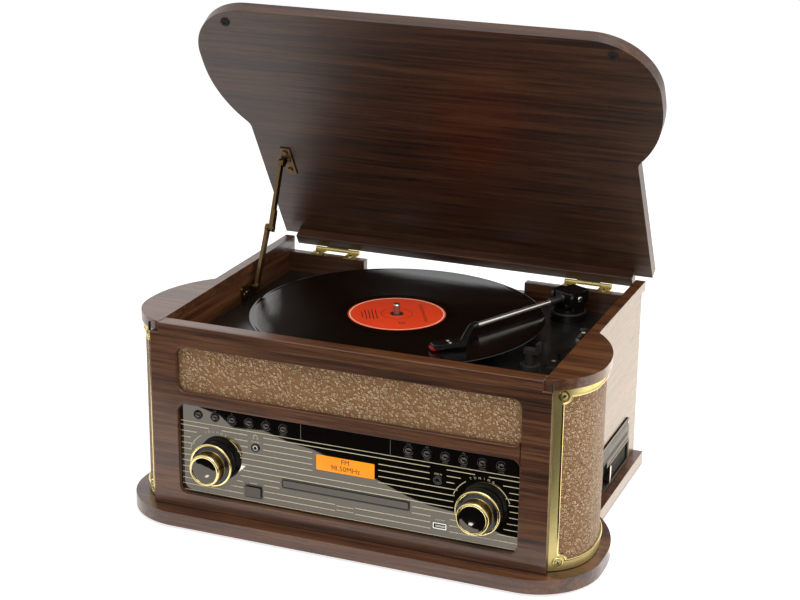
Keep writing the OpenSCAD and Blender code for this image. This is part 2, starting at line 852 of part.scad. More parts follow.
module deck_plate() {
    pad_w = 32;                         // raised pad under the cue lever and speed selector
    pad_l = cue_y - speed_y + 54;
    pad_t = 1.5;
    pad_x = half_in - 8 - pad_w / 2;
    x0 = half_in - deck_clear;
    y0 = well_y + deck_clear;
    l = rear_front - deck_clear - y0;
    color(black) difference() {
        union() {
            translate([-x0, y0, deck_low]) cube([2 * x0, l, deck_t]);
            translate([pad_x, (cue_y + speed_y) / 2, deck_z]) linear_extrude(pad_t)
                round_rect(pad_w, pad_l, 5);
            translate([spindle_x, spindle_y, deck_low - 12]) cylinder(h = 14, r = 9);
        }
        translate([spindle_x, spindle_y, deck_low - 14]) cylinder(h = 30, r = bearing_r + run_gap);
        translate([pulley_x, pulley_y, deck_low - cut]) cylinder(h = deck_t + 2 * cut, r = 8);
        translate([arm_x, arm_y, deck_low - cut]) cylinder(h = deck_t + 5, r = 8);
        translate([cue_x, cue_y, deck_low - cut]) cylinder(h = deck_t + 5, r = 2.5 + run_gap);
        translate([speed_x, speed_y, deck_low - cut]) cylinder(h = deck_t + 5, r = 3 + run_gap);
    }
}

module deck_motor() {
    color(silver) difference() {
        translate([pulley_x, pulley_y, deck_low - 26]) cylinder(h = 26, r = 16);
        translate([pulley_x, pulley_y, deck_low - 12]) cylinder(h = 20, r = 1 + run_gap);
    }
}

module motor_pulley() {
    color(brass) translate([pulley_x, pulley_y, 0]) {
        translate([0, 0, deck_low - 10]) cylinder(h = platter_low + 6 - deck_low + 10, r = 1);
        translate([0, 0, platter_low + 0.5]) cylinder(h = 6, r = pulley_r);
    }
}

module platter() {
    rim = 4;
    color(silver) translate([spindle_x, spindle_y, 0]) {
        translate([0, 0, platter_top - platter_disc]) cylinder(h = platter_disc, r = platter_r);
        for (r = [platter_r, ring_r]) translate([0, 0, platter_low]) difference() {
            cylinder(h = platter_h - platter_disc, r = r);
            translate([0, 0, -cut]) cylinder(h = platter_h + 2 * cut, r = r - rim);
        }
        translate([0, 0, deck_low - 10]) cylinder(h = platter_top - deck_low + 10 - cut, r = bearing_r);
        // A neck inside the record's hole, then the pin above it with its tapered tip
        translate([0, 0, platter_top - 2 * cut])
            cylinder(h = record_z + 0.2 - platter_top + 2 * cut, r = spindle_neck_r);
        translate([0, 0, record_z + 0.2]) cylinder(h = spindle_out - 1.2, r = spindle_r);
        translate([0, 0, record_z + spindle_out - 1]) cylinder(h = 1, r1 = spindle_r, r2 = spindle_r - 1);
    }
    color(black) translate([spindle_x, spindle_y, platter_top]) difference() {
        cylinder(h = mat_t, r = platter_r - 2);
        translate([0, 0, -cut]) cylinder(h = mat_t + 2 * cut, r = spindle_r + 0.05);
    }
}

module record() {
    color(black) translate([spindle_x, spindle_y, record_low]) difference() {
        cylinder(h = record_t, r = record_r, $fn = 180);
        translate([0, 0, -cut]) cylinder(h = record_t + 2 * cut, r = spindle_r + 0.05);
    }
}

// ---------- tonearm ----------

module arm_frame() {
    translate([arm_x, arm_y, 0]) rotate([0, 0, -arm_angle]) children();
}

module tonearm_base() {
    color(black) difference() {
        translate([arm_x, arm_y, deck_z]) cylinder(h = base_h, r = base_r);
        translate([arm_x, arm_y, deck_z - cut]) cylinder(h = base_h + 2 * cut, r = 4 + run_gap);
    }
}

module turret_ear() {
    corner = 6;
    translate([-7.5, turret_z + 1]) square([15, 6]);
    translate([0, (turret_z + 6 + ear_top) / 2]) round_rect(ear_l, ear_top - turret_z - 6, corner);
}

module arm_turret() {
    pin_l = 2 * ear_y + ear_t;
    color(black) arm_frame() {
        translate([0, 0, turret_z]) cylinder(h = 3, r = turret_r);
        translate([0, 0, deck_z + 1]) cylinder(h = turret_z - deck_z, r = 4);
        difference() {
            for (x = [-1, 1]) along_x(x * ear_y - ear_t / 2, ear_t) turret_ear();
            bar_x(-ear_y - ear_t, 0, arm_z, 1.5 + run_gap, pin_l + ear_t);
        }
    }
}

// Pivot block, tube and counterweight, tipping on a pin in the turret's ears
module arm_tube() {
    block = 2 * (ear_y - ear_t / 2 - pass_gap);
    fore = 10;
    aft = 19;
    collar_l = 20;
    color(black) arm_frame() {
        translate([-block / 2, -fore, arm_z - 6.5]) cube([block, fore + aft, 13]);
        bar_y(0, -fore - collar_l, arm_z, arm_r + 1, collar_l + 1);
        bar_x(-ear_y - ear_t / 2, 0, arm_z, 1.5, 2 * ear_y + ear_t);
    }
    color(silver) arm_frame() bar_y(0, -arm_l, arm_z, arm_r, arm_l - fore);
}

function neck_point(t) = [neck_side * t, -arm_l - (neck_l - arm_l) * t, arm_z - neck_drop * t];

// Angled neck, shell, cartridge and stylus
module headshell() {
    neck = neck_point(1) - neck_point(0);
    turn = atan2(neck[0], -neck[1]);
    dip = atan2(-neck[2], norm([neck[0], neck[1]]));
    tip_gap = 0.3;
    color(black) arm_frame() {
        bar_y(0, -arm_l - 5, arm_z, arm_r + 1.2, 5);
        translate(neck_point(0) + [0, -3, 0]) rotate([0, 0, turn]) rotate([dip, 0, 0])
            rotate([90, 0, 0]) cylinder(h = norm(neck) + 1, r = arm_r + 0.6);
        translate([neck_side, -neck_l, head_z]) rotate([0, 0, -head_angle]) {
            translate([-head_w / 2, -head_l, -1.5]) cube([head_w, head_l, 4]);
            translate([-5.5, -head_l + 3, record_z + 2.4 - head_z])
                cube([11, 20, head_z - record_z - 3.2]);
        }
    }
    color("red") arm_frame() translate([neck_side, -neck_l, head_z]) rotate([0, 0, -head_angle]) {
        translate([-5, -head_l - 1, record_z + 1.2 - head_z]) cube([10, 12, 2]);
        translate([0, -head_l + 3, record_z + tip_gap - head_z]) cylinder(h = 2, r = 0.6);
    }
}

module arm_rest() {
    color(black) translate([rest_x, rest_y, 0]) {
        translate([0, 0, deck_z]) cylinder(h = 3, r = 10);
        translate([0, 0, deck_z]) cylinder(h = rest_top - 3 - deck_z, r = 5.5);
        translate([-6, -5, rest_top - 4]) cube([15.5, 10, 4]);
        translate([6.5, -5, rest_top - 4]) cube([3, 10, 11]);
    }
}

module cue_lever() {
    color(silver) translate([cue_x, cue_y, deck_z]) {
        translate([0, 0, -2]) cylinder(h = 8, r = 2.5);
        translate([0, 0, 2.2]) cylinder(h = 6, r = 5);
        translate([-2, -26, 4]) cube([4, 26, 3]);
    }
}

module speed_selector() {
    grip_l = 20;
    grip_w = 3;
    color(black) translate([speed_x, speed_y, deck_z]) {
        translate([0, 0, -2]) cylinder(h = 6, r = 3);
        translate([0, 0, 2]) cylinder(h = 5, r = 9);
        translate([-grip_w / 2, -grip_l + 8, 4]) cube([grip_w, grip_l, 5]);
    }
}

// ---------- inside and rear ----------

module transformer() {
    base = [62, 50, 6];
    core = [42, 34, 38];
    coil = [30, 46, 26];
    translate([-half_in + 57, rear_front - 55.5, plinth_top]) {
        color(silver) translate([-base[0] / 2, -base[1] / 2, 0]) cube(base);
        color(silver) translate([-core[0] / 2, -core[1] / 2, base[2] - 1]) cube(core);
        color(brass) translate([-coil[0] / 2, -coil[1] / 2, base[2] + 4]) cube(coil);
    }
}

// Plate with the mains inlet and the audio outputs; no cord is fitted
module rear_terminals() {
    y = rear_front + rear_t;
    inlet_x = term_x - 34;
    inlet_r = 4.2;
    color(black) difference() {
        union() {
            along_y(y, 2) translate([term_x, term_z]) round_rect(term_w, term_h, 3);
            along_y(y - 16, 17) translate([inlet_x, term_z]) round_rect(22, 14, 2);
        }
        along_y(y - 12, 20) translate([inlet_x, term_z])
            round_rect(4 * inlet_r, 2 * inlet_r, inlet_r - 0.01);
    }
    color(silver) {
        for (x = [-1, 1]) bar_y(inlet_x + x * inlet_r, y - 13, term_z, 1.2, 11);
        for (x = [10, 28], z = [-10, 10]) difference() {
            bar_y(term_x + x, y - 8, term_z + z, 4.15, 17);
            bar_y(term_x + x, y + 1, term_z + z, 1.7, 12);
        }
    }
}

// ---------- lid ----------

// The closed lid turned open about its hinge
module opened() {
    translate([0, hinge_y, hinge_z]) rotate([-lid_angle, 0, 0])
        translate([0, -hinge_y, -hinge_z]) children();
}

module lid_board() {
    front = face_y - lid_front;
    color(walnut) opened() translate([0, 0, lid_z]) linear_extrude(lid_t) both_sides()
        lobed_half(lid_over, front, lid_rear, front + lobe_r + lid_over, 2 * cove_r);
}

module lid_batten() {
    w = half_in - batten_gap;
    color(walnut) opened() translate([-w, lid_rear + batten_back - batten_w, batten_z])
        cube([2 * w, batten_w, batten_d]);
}

module lid_bumpers() {
    color(black) opened() both_sides()
        translate([bumper_x, lid_rear - bumper_s, lid_z - lid_gap + 0.2])
            cylinder(h = lid_gap - 0.2, r = bumper_r);
}

// ---------- hinges ----------

// Lower leaf on a rear block: two tabs with their screws, two end knuckles and the pin
module hinge_lower_leaves() {
    tab_y = rear_front + 0.8;
    color(brass) for (side = [-1, 1]) {
        x0 = side * hinge_x - hinge_l / 2;
        for (x = [x0, x0 + hinge_l - knuckle_l]) {
            bar_x(x, hinge_y, hinge_z, barrel_r, knuckle_l);
            translate([x, tab_y, rear_top]) cube([knuckle_l, hinge_y - tab_y, leaf_t]);
            translate([x + knuckle_l / 2, tab_y + 4.5, rear_top]) cylinder(h = leaf_t + 1, r = 2.6);
        }
        bar_x(x0, hinge_y, hinge_z, pin_r, hinge_l);
    }
}

// Upper leaf on the batten's back: a plate and the middle knuckle
module hinge_upper_leaves() {
    mid = hinge_l - 2 * knuckle_l - 2 * pass_gap;
    plate_y = lid_rear + batten_back;
    color(brass) opened() for (side = [-1, 1]) {
        x0 = side * hinge_x - mid / 2;
        difference() {
            union() {
                bar_x(x0, hinge_y, hinge_z, barrel_r, mid);
                translate([x0, plate_y, hinge_z]) cube([mid, leaf_t, batten_d - 1]);
            }
            bar_x(x0 - cut, hinge_y, hinge_z, pin_r + run_gap, mid + 2 * cut);
        }
    }
}

// ---------- lid stay ----------

// A bar with a round end at a and an eye at b
module link(a, b, w, eye) {
    d = b - a;
    l = norm(d);
    translate(a) circle(w / 2 + 0.2);
    translate(b) circle(eye);
    translate(a) rotate(atan2(d[1], d[0])) translate([0, -w / 2]) square([l, w]);
}

module stay_lower_bracket() {
    x0 = -half_in;
    color(brass) {
        along_x(x0, stay_wall - pass_gap) translate([stay_low[0] - 10, stay_low[1] - 2])
            round_rect(34, 14, 3);
        bar_x(x0, stay_low[0], stay_low[1], rivet_r, stay_wall + 1.6 * stay_t);
        bar_x(x0, stay_low[0] - 15, stay_low[1] - 3.2, 3, stay_wall + 1);
    }
}

module stay_lower_arm() {
    x0 = lower_arm_x - stay_t / 2;
    color(brass) difference() {
        along_x(x0, stay_t) link(stay_low, elbow, stay_w, stay_eye_r);
        bar_x(x0 - cut, stay_low[0], stay_low[1], rivet_r + run_gap, stay_t + 2 * cut);
    }
}

module stay_upper_arm() {
    x0 = upper_arm_x - stay_t / 2;
    color(brass) difference() {
        along_x(x0, stay_t) link(stay_top, elbow, stay_w, stay_eye_r - 0.8);
        bar_x(x0 - cut, stay_top[0], stay_top[1], rivet_r + run_gap, stay_t + 2 * cut);
    }
}

module stay_upper_bracket() {
    x0 = upper_arm_x + stay_t / 2 + pass_gap;
    lug_r = 4.6;
    color(brass) opened() {
        for (y = [-12.5, 13]) translate([x0 + 4.2, stay_up_y + y, lid_z - 3]) cylinder(h = 2, r = 3);
        translate([x0, stay_up_y - 19, lid_z - 1.5]) cube([11, 38, 1.5]);
        along_x(x0, 2) translate([stay_up_y, stay_up_z]) {
            intersection() {
                circle(lug_r);
                translate([-lug_r - cut, -lug_r - cut])
                    square([2 * (lug_r + cut), lug_r + cut + stay_up_d]);
            }
            translate([-lug_r + 0.2, 0]) square([2 * lug_r - 0.4, stay_up_d]);
        }
        bar_x(x0 - stay_t - pass_gap, stay_up_y, stay_up_z, rivet_r, stay_t + pass_gap + 1);
    }
}

// ---------- the model ----------

plinth();
feet();
front_panel();
left_side_panel();
right_side_panel();
rear_panel();
cap_boards();
grille_shells();
grille_cloths();
grille_frames();
front_speaker_cloth();
fascia();
display_board();
front_sockets();
disc_loader();
disc_drawer();
speaker_drivers();
cassette_plate();
cassette_mechanism();
cassette_flap();
eject_lever();
deck_plate();
deck_motor();
motor_pulley();
platter();
record();
tonearm_base();
arm_rest();
arm_turret();
arm_tube();
headshell();
cue_lever();
speed_selector();
transformer();
rear_terminals();
screws();
hinge_lower_leaves();
hinge_upper_leaves();
lid_board();
lid_batten();
lid_bumpers();
stay_lower_bracket();
stay_upper_bracket();
stay_lower_arm();
stay_upper_arm();
volume_knob();
tuning_knob();
power_button();
push_button(0);  // button_1
push_button(1);  // button_2
push_button(2);  // button_3
push_button(3);  // button_4
push_button(4);  // button_5
push_button(5);  // button_6
push_button(6);  // button_7
push_button(7);  // button_8
push_button(8);  // button_9
push_button(9);  // button_10
push_button(10);  // button_11
push_button(11);  // button_12
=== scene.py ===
"""Looks of a stereo music centre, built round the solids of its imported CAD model.

Lengths are millimetres in the CAD's own frame until a mesh is handed to Blender.
The front faces -Y, the record lies under the raised lid, and Z is up.
"""

import json
import math

import bmesh
import bpy
from bpy.props import FloatProperty, FloatVectorProperty, PointerProperty, StringProperty
from mathutils import Matrix, Vector


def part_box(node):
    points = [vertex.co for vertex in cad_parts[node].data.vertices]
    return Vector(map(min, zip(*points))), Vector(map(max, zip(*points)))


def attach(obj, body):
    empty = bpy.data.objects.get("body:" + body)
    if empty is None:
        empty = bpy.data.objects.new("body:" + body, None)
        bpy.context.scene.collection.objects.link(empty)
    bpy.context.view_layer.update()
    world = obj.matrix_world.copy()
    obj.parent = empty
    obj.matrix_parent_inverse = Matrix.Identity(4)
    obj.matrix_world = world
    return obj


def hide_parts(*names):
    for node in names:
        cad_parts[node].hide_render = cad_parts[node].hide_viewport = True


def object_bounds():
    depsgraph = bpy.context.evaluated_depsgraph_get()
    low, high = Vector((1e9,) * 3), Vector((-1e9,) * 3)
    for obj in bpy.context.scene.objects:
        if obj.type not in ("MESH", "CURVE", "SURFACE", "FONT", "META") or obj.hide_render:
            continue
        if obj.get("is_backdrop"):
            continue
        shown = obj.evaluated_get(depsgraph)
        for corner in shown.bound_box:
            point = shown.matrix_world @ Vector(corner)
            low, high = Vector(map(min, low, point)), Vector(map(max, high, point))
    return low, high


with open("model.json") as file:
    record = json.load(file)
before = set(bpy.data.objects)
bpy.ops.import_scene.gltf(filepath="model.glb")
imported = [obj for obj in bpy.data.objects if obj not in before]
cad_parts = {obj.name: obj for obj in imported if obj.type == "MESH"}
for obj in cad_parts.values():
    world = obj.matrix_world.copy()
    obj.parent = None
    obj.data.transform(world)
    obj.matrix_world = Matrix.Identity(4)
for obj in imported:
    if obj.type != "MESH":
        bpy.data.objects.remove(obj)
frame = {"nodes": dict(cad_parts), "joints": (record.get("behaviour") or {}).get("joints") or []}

bl_info = {
    "name": "Stereo music centre",
    "version": (1, 0, 0),
    "blender": (4, 5, 0),
    "location": "View3D > Sidebar > Music centre",
    "description": "Dresses the CAD model of a stereo music centre with finishes and fine pieces",
    "category": "Object",
}

MM = 0.001
INK = 0.05  # how far printing and painted lines stand above their face


# ---------- places ----------


def box(node):
    """The lowest and highest corner of a CAD node, in millimetres."""
    low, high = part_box(node)
    return low / MM, high / MM


def middle(node):
    low, high = box(node)
    return (low + high) / 2


def joint(name):
    return next(j for j in frame["joints"] if j["name"] == name)


def pivot(name):
    return Vector(joint(name)["pos_m"]) / MM


def axes(x, y, z, at=(0, 0, 0)):
    """The frame with these three directions, standing at a point."""
    turned = Matrix((x, y, z)).transposed().to_4x4()
    return Matrix.Translation(Vector(at)) @ turned


def on_front(x, z, y):
    """A frame on a face that looks to -Y: its own z points out of the face."""
    return axes((1, 0, 0), (0, 0, 1), (0, -1, 0), (x, y, z))


def on_rear(x, z, y):
    return axes((-1, 0, 0), (0, 0, 1), (0, 1, 0), (x, y, z))


def on_right(y, z, x):
    """A frame on a face that looks to +X."""
    return axes((0, 1, 0), (0, 0, 1), (1, 0, 0), (x, y, z))


def upright(x, y, z):
    return Matrix.Translation((x, y, z))


# Faces and centres of the CAD that more than one piece stands on
FRONT_Y = box("front_panel")[0].y
FASCIA_Y = box("fascia")[0].y
DECK_Z = 173
SIDE_X = 203.5
HINGE_X = 144.5
SPINDLE = pivot("platter_spin")
HINGE = pivot("lid_hinge")
OPENING = math.radians(joint("lid_hinge")["range_deg"][1])
LID_OPEN = (
    Matrix.Translation(HINGE) @ Matrix.Rotation(-OPENING, 4, "X") @ Matrix.Translation(-HINGE)
)
ARM = pivot("arm_lift")
ARM_FRAME = Matrix.Translation(ARM) @ Matrix.Rotation(math.radians(-25), 4, "Z")


# ---------- finishes ----------


def rgb(red, green, blue):
    """A colour written as 0 to 255 on a screen, as Blender's linear colour."""
    parts = [c / 255 for c in (red, green, blue)]
    return [c / 12.92 if c < 0.04045 else ((c + 0.055) / 1.055) ** 2.4 for c in parts] + [1]


class Value:
    """One output of a material's nodes. Arithmetic on it adds the Math nodes."""

    def __init__(self, finish, socket):
        self.finish = finish
        self.socket = socket

    def __add__(self, other):
        return self.finish.maths("ADD", self, other)

    def __sub__(self, other):
        return self.finish.maths("SUBTRACT", self, other)

    def __rsub__(self, other):
        return self.finish.maths("SUBTRACT", other, self)

    def __mul__(self, other):
        return self.finish.maths("MULTIPLY", self, other)

    def __gt__(self, other):
        return self.finish.maths("GREATER_THAN", self, other)

    def __lt__(self, other):
        return self.finish.maths("LESS_THAN", self, other)

    def __abs__(self):
        return self.finish.maths("ABSOLUTE", self)

    __radd__ = __add__
    __rmul__ = __mul__


class Nodes:
    """The nodes of a material or a world."""

    def __init__(self, tree):
        self.nodes = tree.nodes
        self.links = tree.links

    def feed(self, socket, value):
        if isinstance(value, Value):
            self.links.new(value.socket, socket)
        else:
            socket.default_value = value

    def node(self, kind, inputs=None, output=0, stops=None, **settings):
        """Adds a node: its settings and ramp stops first, then its sockets."""
        made = self.nodes.new(kind)
        for name, value in settings.items():
            setattr(made, name, value)
        if stops:
            ramp = made.color_ramp.elements
            while len(ramp) < len(stops):
                ramp.new(0.5)
            for element, (position, colour) in zip(ramp, stops):
                element.position = position
                element.color = colour
        for key, value in (inputs or {}).items():
            self.feed(made.inputs[key], value)
        return None if output is None else Value(self, made.outputs[output])

    def maths(self, operation, first, second=None):
        inputs = {0: first} if second is None else {0: first, 1: second}
        return self.node("ShaderNodeMath", inputs, operation=operation)

    def limited(self, value):
        return self.node("ShaderNodeClamp", {0: value})

    def seen(self):
        """1 where the camera looks, also by way of a mirror or glass, and 0 for other light."""
        rays = [self.node("ShaderNodeLightPath", output=f"Is {kind} Ray")
                for kind in ("Camera", "Glossy", "Transmission")]
        return self.limited(rays[0] + rays[1] + rays[2])


class Finish(Nodes):
    """A material whose Principled shader is fed by nodes written as expressions."""

    def __init__(self, name, **sockets):
        self.material = bpy.data.materials.new(name)
        self.material.use_nodes = True
        super().__init__(self.material.node_tree)
        self.shader = self.nodes["Principled BSDF"]
        self.set(**sockets)

    def set(self, **sockets):
        """Sets the shader's sockets: base_color is its Base Color, and so on."""
        for name, value in sockets.items():
            title = name.replace("_", " ").title().replace("Ior", "IOR")
            self.feed(self.shader.inputs[title], value)
        return self

    def mix(self, factor, first, second):
        return self.node("ShaderNodeMix", {0: factor, 6: first, 7: second}, 2, data_type="RGBA")

    def ramp(self, value, *stops):
        return self.node("ShaderNodeValToRGB", {0: value}, stops=stops)

    def place(self):
        """Where a point is in the CAD's frame, in metres."""
        return self.node("ShaderNodeTexCoord", output=3)

    def noise(self, place, size, detail=2, seed=(0, 0, 0), **more):
        """Noise whose features are size millimetres, one number or one for each axis."""
        sizes = size if hasattr(size, "__len__") else (size, size, size)
        scale = [1 / (s * MM) for s in sizes]
        moved = self.node("ShaderNodeMapping", {0: place, 1: seed, 3: scale})
        inputs = {"Vector": moved, "Scale": 1, "Detail": detail, **more}
        return self.node("ShaderNodeTexNoise", inputs)

    def bump(self, height, depth, strength=1.0):
        """Raises the surface by depth millimetres where the height is 1."""
        inputs = {"Strength": strength, "Distance": depth * MM, "Height": height}
        return self.set(normal=self.node("ShaderNodeBump", inputs))


def grained(name, colour, roughness, grain=0.8, vary=0.12, depth=0.0, metallic=0.0, **more):
    """Paint, plastic or metal with a fine grain, cloudy wear and an uneven sheen."""
    finish = Finish(name, metallic=metallic, **more)
    place = finish.place()
    fine = finish.noise(place, grain, 3)
    cloud = finish.noise(place, 22, 3, (3.1, 1.7, 0.4))
    darker = [c * (1 - 2 * vary) for c in colour[:3]] + [1]
    lighter = [min(1, c * (1 + vary)) for c in colour[:3]] + [1]
    tone = finish.limited(0.6 * fine + 0.7 * cloud - 0.15)
    finish.set(base_color=finish.mix(tone, darker, lighter))
    finish.set(roughness=finish.limited(roughness + (cloud - 0.5) * 0.12 + (fine - 0.5) * 0.06))
    if depth:
        finish.bump(fine, depth)
    return finish.material


def brushed(name, colour, roughness, along=(1, 0, 0), lines=0.5, depth=0.01):
    """Metal with fine brush lines along one axis and a little tarnish."""
    finish = Finish(name, metallic=1)
    place = finish.place()
    sizes = [30 if part else lines for part in along]
    line = finish.noise(place, sizes, 2)
    tarnish = finish.noise(place, 9, 4, (0.3, 5.1, 2.2))
    dull = [c * 0.55 for c in colour[:3]] + [1]
    spots = finish.limited((tarnish - 0.52) * 3)
    finish.set(base_color=finish.mix(spots * 0.6, colour, dull))
    finish.set(roughness=finish.limited(roughness + (line - 0.5) * 0.14 + spots * 0.12))
    if depth:
        finish.bump(line, depth)
    return finish.material


def walnut(name, along, looks, seed=0.0, deep=1.0, haze=0.18, lacquer=0.55):
    """Walnut foil under lacquer: broad figure, fibres and short dark pores.

    along is the axis of the grain, deep darkens the wood, and haze dulls the lacquer.
    """
    finish = Finish(name, coat_weight=lacquer, coat_roughness=haze, ior=1.5)
    place = finish.place()

    def streaks(length, width, detail, shift, **more):
        sizes = [length if axis == along else width for axis in range(3)]
        moved = (seed + shift, seed - shift, shift)
        return finish.noise(place, sizes, detail, moved, **more)

    broad = streaks(260, 15, 3, 1.3, Distortion=0.6)
    narrow = streaks(130, 3.6, 3, 7.7, Distortion=0.3)
    fibre = streaks(60, 0.9, 2, 4.2)
    pores = streaks(16, 0.55, 1, 9.4)
    tone = finish.limited(3.1 * (0.3 * broad + 0.4 * narrow + 0.3 * fibre) - 1.05)
    dark, light = list(looks.walnut_dark), list(looks.walnut_light)
    dark = [c * deep for c in dark[:3]] + [1]
    light = [c * deep for c in light[:3]] + [1]
    red = [light[0] * 0.5, light[1] * 0.38, light[2] * 0.28, 1]
    figure = finish.ramp(tone, (0.12, dark), (0.45, red), (0.85, light))
    pore = finish.limited((pores - 0.6) * 9)
    black = [c * 0.35 for c in dark[:3]] + [1]
    finish.set(base_color=finish.mix(pore * 0.7, figure, black))
    finish.set(roughness=finish.limited(0.3 + 0.16 * fibre + 0.15 * pore))
    finish.bump(finish.limited(1 - pore) + fibre * 0.3, 0.05, 0.5)
    return finish.material


def speaker_cloth(name, looks):
    """Woven cloth with small raised curls: light threads, each with a painted shadow beside it."""
    finish = Finish(name, sheen_weight=0.25, sheen_roughness=0.5, ior=1.4)
    place = finish.place()
    curl = looks.scroll_size
    aside = finish.node("ShaderNodeVectorMath", {0: place, 1: (-0.0005, 0, -0.0008)})

    def scroll(where, width):
        """Rings round scattered points, about one point for each curl."""
        near = finish.node("ShaderNodeTexVoronoi", {"Vector": where, "Scale": 1 / (curl * MM)})
        return finish.limited(1.2 - abs(near - 0.36) * width)

    broken = finish.limited((finish.noise(place, curl * 0.6, 1, (8, 1, 3)) - 0.4) * 12)
    light = scroll(place, 8) * broken
    # Painted shadow: the same rings, moved a little aside, are darkened beside each light curl.
    painted_shadow = scroll(aside, 7) * broken
    weave = finish.noise(place, 0.42, 1, (1, 4, 2))
    cloud = finish.noise(place, 40, 2, (4, 0, 1))
    ground = finish.mix(finish.limited(weave * 0.8 + cloud * 0.4 - 0.1),
                        rgb(118, 82, 52), rgb(172, 130, 88))
    # rgb(44, 24, 10) is the colour of the painted shadow.
    with_painted_shadow = finish.mix(painted_shadow, ground, rgb(44, 24, 10))
    finish.set(base_color=finish.mix(light * 0.9, with_painted_shadow, rgb(246, 212, 164)))
    finish.set(roughness=finish.limited(0.7 + weave * 0.25))
    return finish.bump(weave * 0.3 + light, 0.4, 0.8).material


def vinyl(name, looks):
    """Pressed record: fine rings in the gloss, and plain bands between the tracks."""
    finish = Finish(name, ior=1.6)
    place = finish.place()
    centre = SPINDLE * MM
    out = finish.node("ShaderNodeVectorMath", {0: place, 1: (-centre.x, -centre.y, 0)})
    flat = finish.node("ShaderNodeVectorMath", {0: out, 1: (1, 1, 0)}, operation="MULTIPLY")
    radius = finish.node("ShaderNodeVectorMath", {0: flat}, 1, operation="LENGTH")
    pitch = looks.groove_pitch * MM
    groove = finish.maths("SINE", radius * (2 * math.pi / pitch))
    loud = finish.node("ShaderNodeTexNoise", {"W": radius * 240, "Scale": 1, "Detail": 3},
                       noise_dimensions="1D")
    track = finish.node("ShaderNodeTexNoise", {"W": radius * 62, "Scale": 1, "Detail": 0},
                        noise_dimensions="1D")
    gap = finish.limited(1 - abs(track - 0.5) * 60)
    grooved = (radius > 0.0605) * (radius < 0.1455) * (1 - gap * 0.8)
    finish.set(base_color=finish.mix(grooved * loud, rgb(4, 3, 2), rgb(9, 7, 5)))
    finish.set(roughness=finish.limited(0.06 + grooved * (0.03 + loud * 0.06)))
    return finish.bump(grooved * groove * 0.5 + grooved * loud, 0.016, 0.8).material


def gloss_black(name, colour, roughness=0.05, ior=2.1):
    """Clear glossy sheet over black: faint dust and a little orange peel."""
    finish = Finish(name, ior=ior, specular_tint=(1, 0.9, 0.76, 1))
    place = finish.place()
    peel = finish.noise(place, 9, 2)
    dust = finish.limited((finish.noise(place, 0.5, 1) - 0.7) * 8)
    finish.set(base_color=finish.mix(dust * 0.4, colour, rgb(60, 56, 50)))
    finish.set(roughness=finish.limited(roughness + dust * 0.2 + peel * 0.01))
    return finish.bump(peel, 0.004, 0.4).material


def lit_display(name, looks):
    """Backlit display: its glow varies in soft clouds between two oranges."""
    finish = Finish(name, emission_strength=1.0, roughness=0.25)
    cloud = finish.noise(finish.place(), 16, 2)
    glow = finish.mix(finish.limited(cloud * 1.2 - 0.1), rgb(247, 140, 0), list(looks.display) + [1])
    finish.set(base_color=finish.mix(0.15, rgb(40, 16, 0), glow))
    return finish.set(emission_color=glow).material


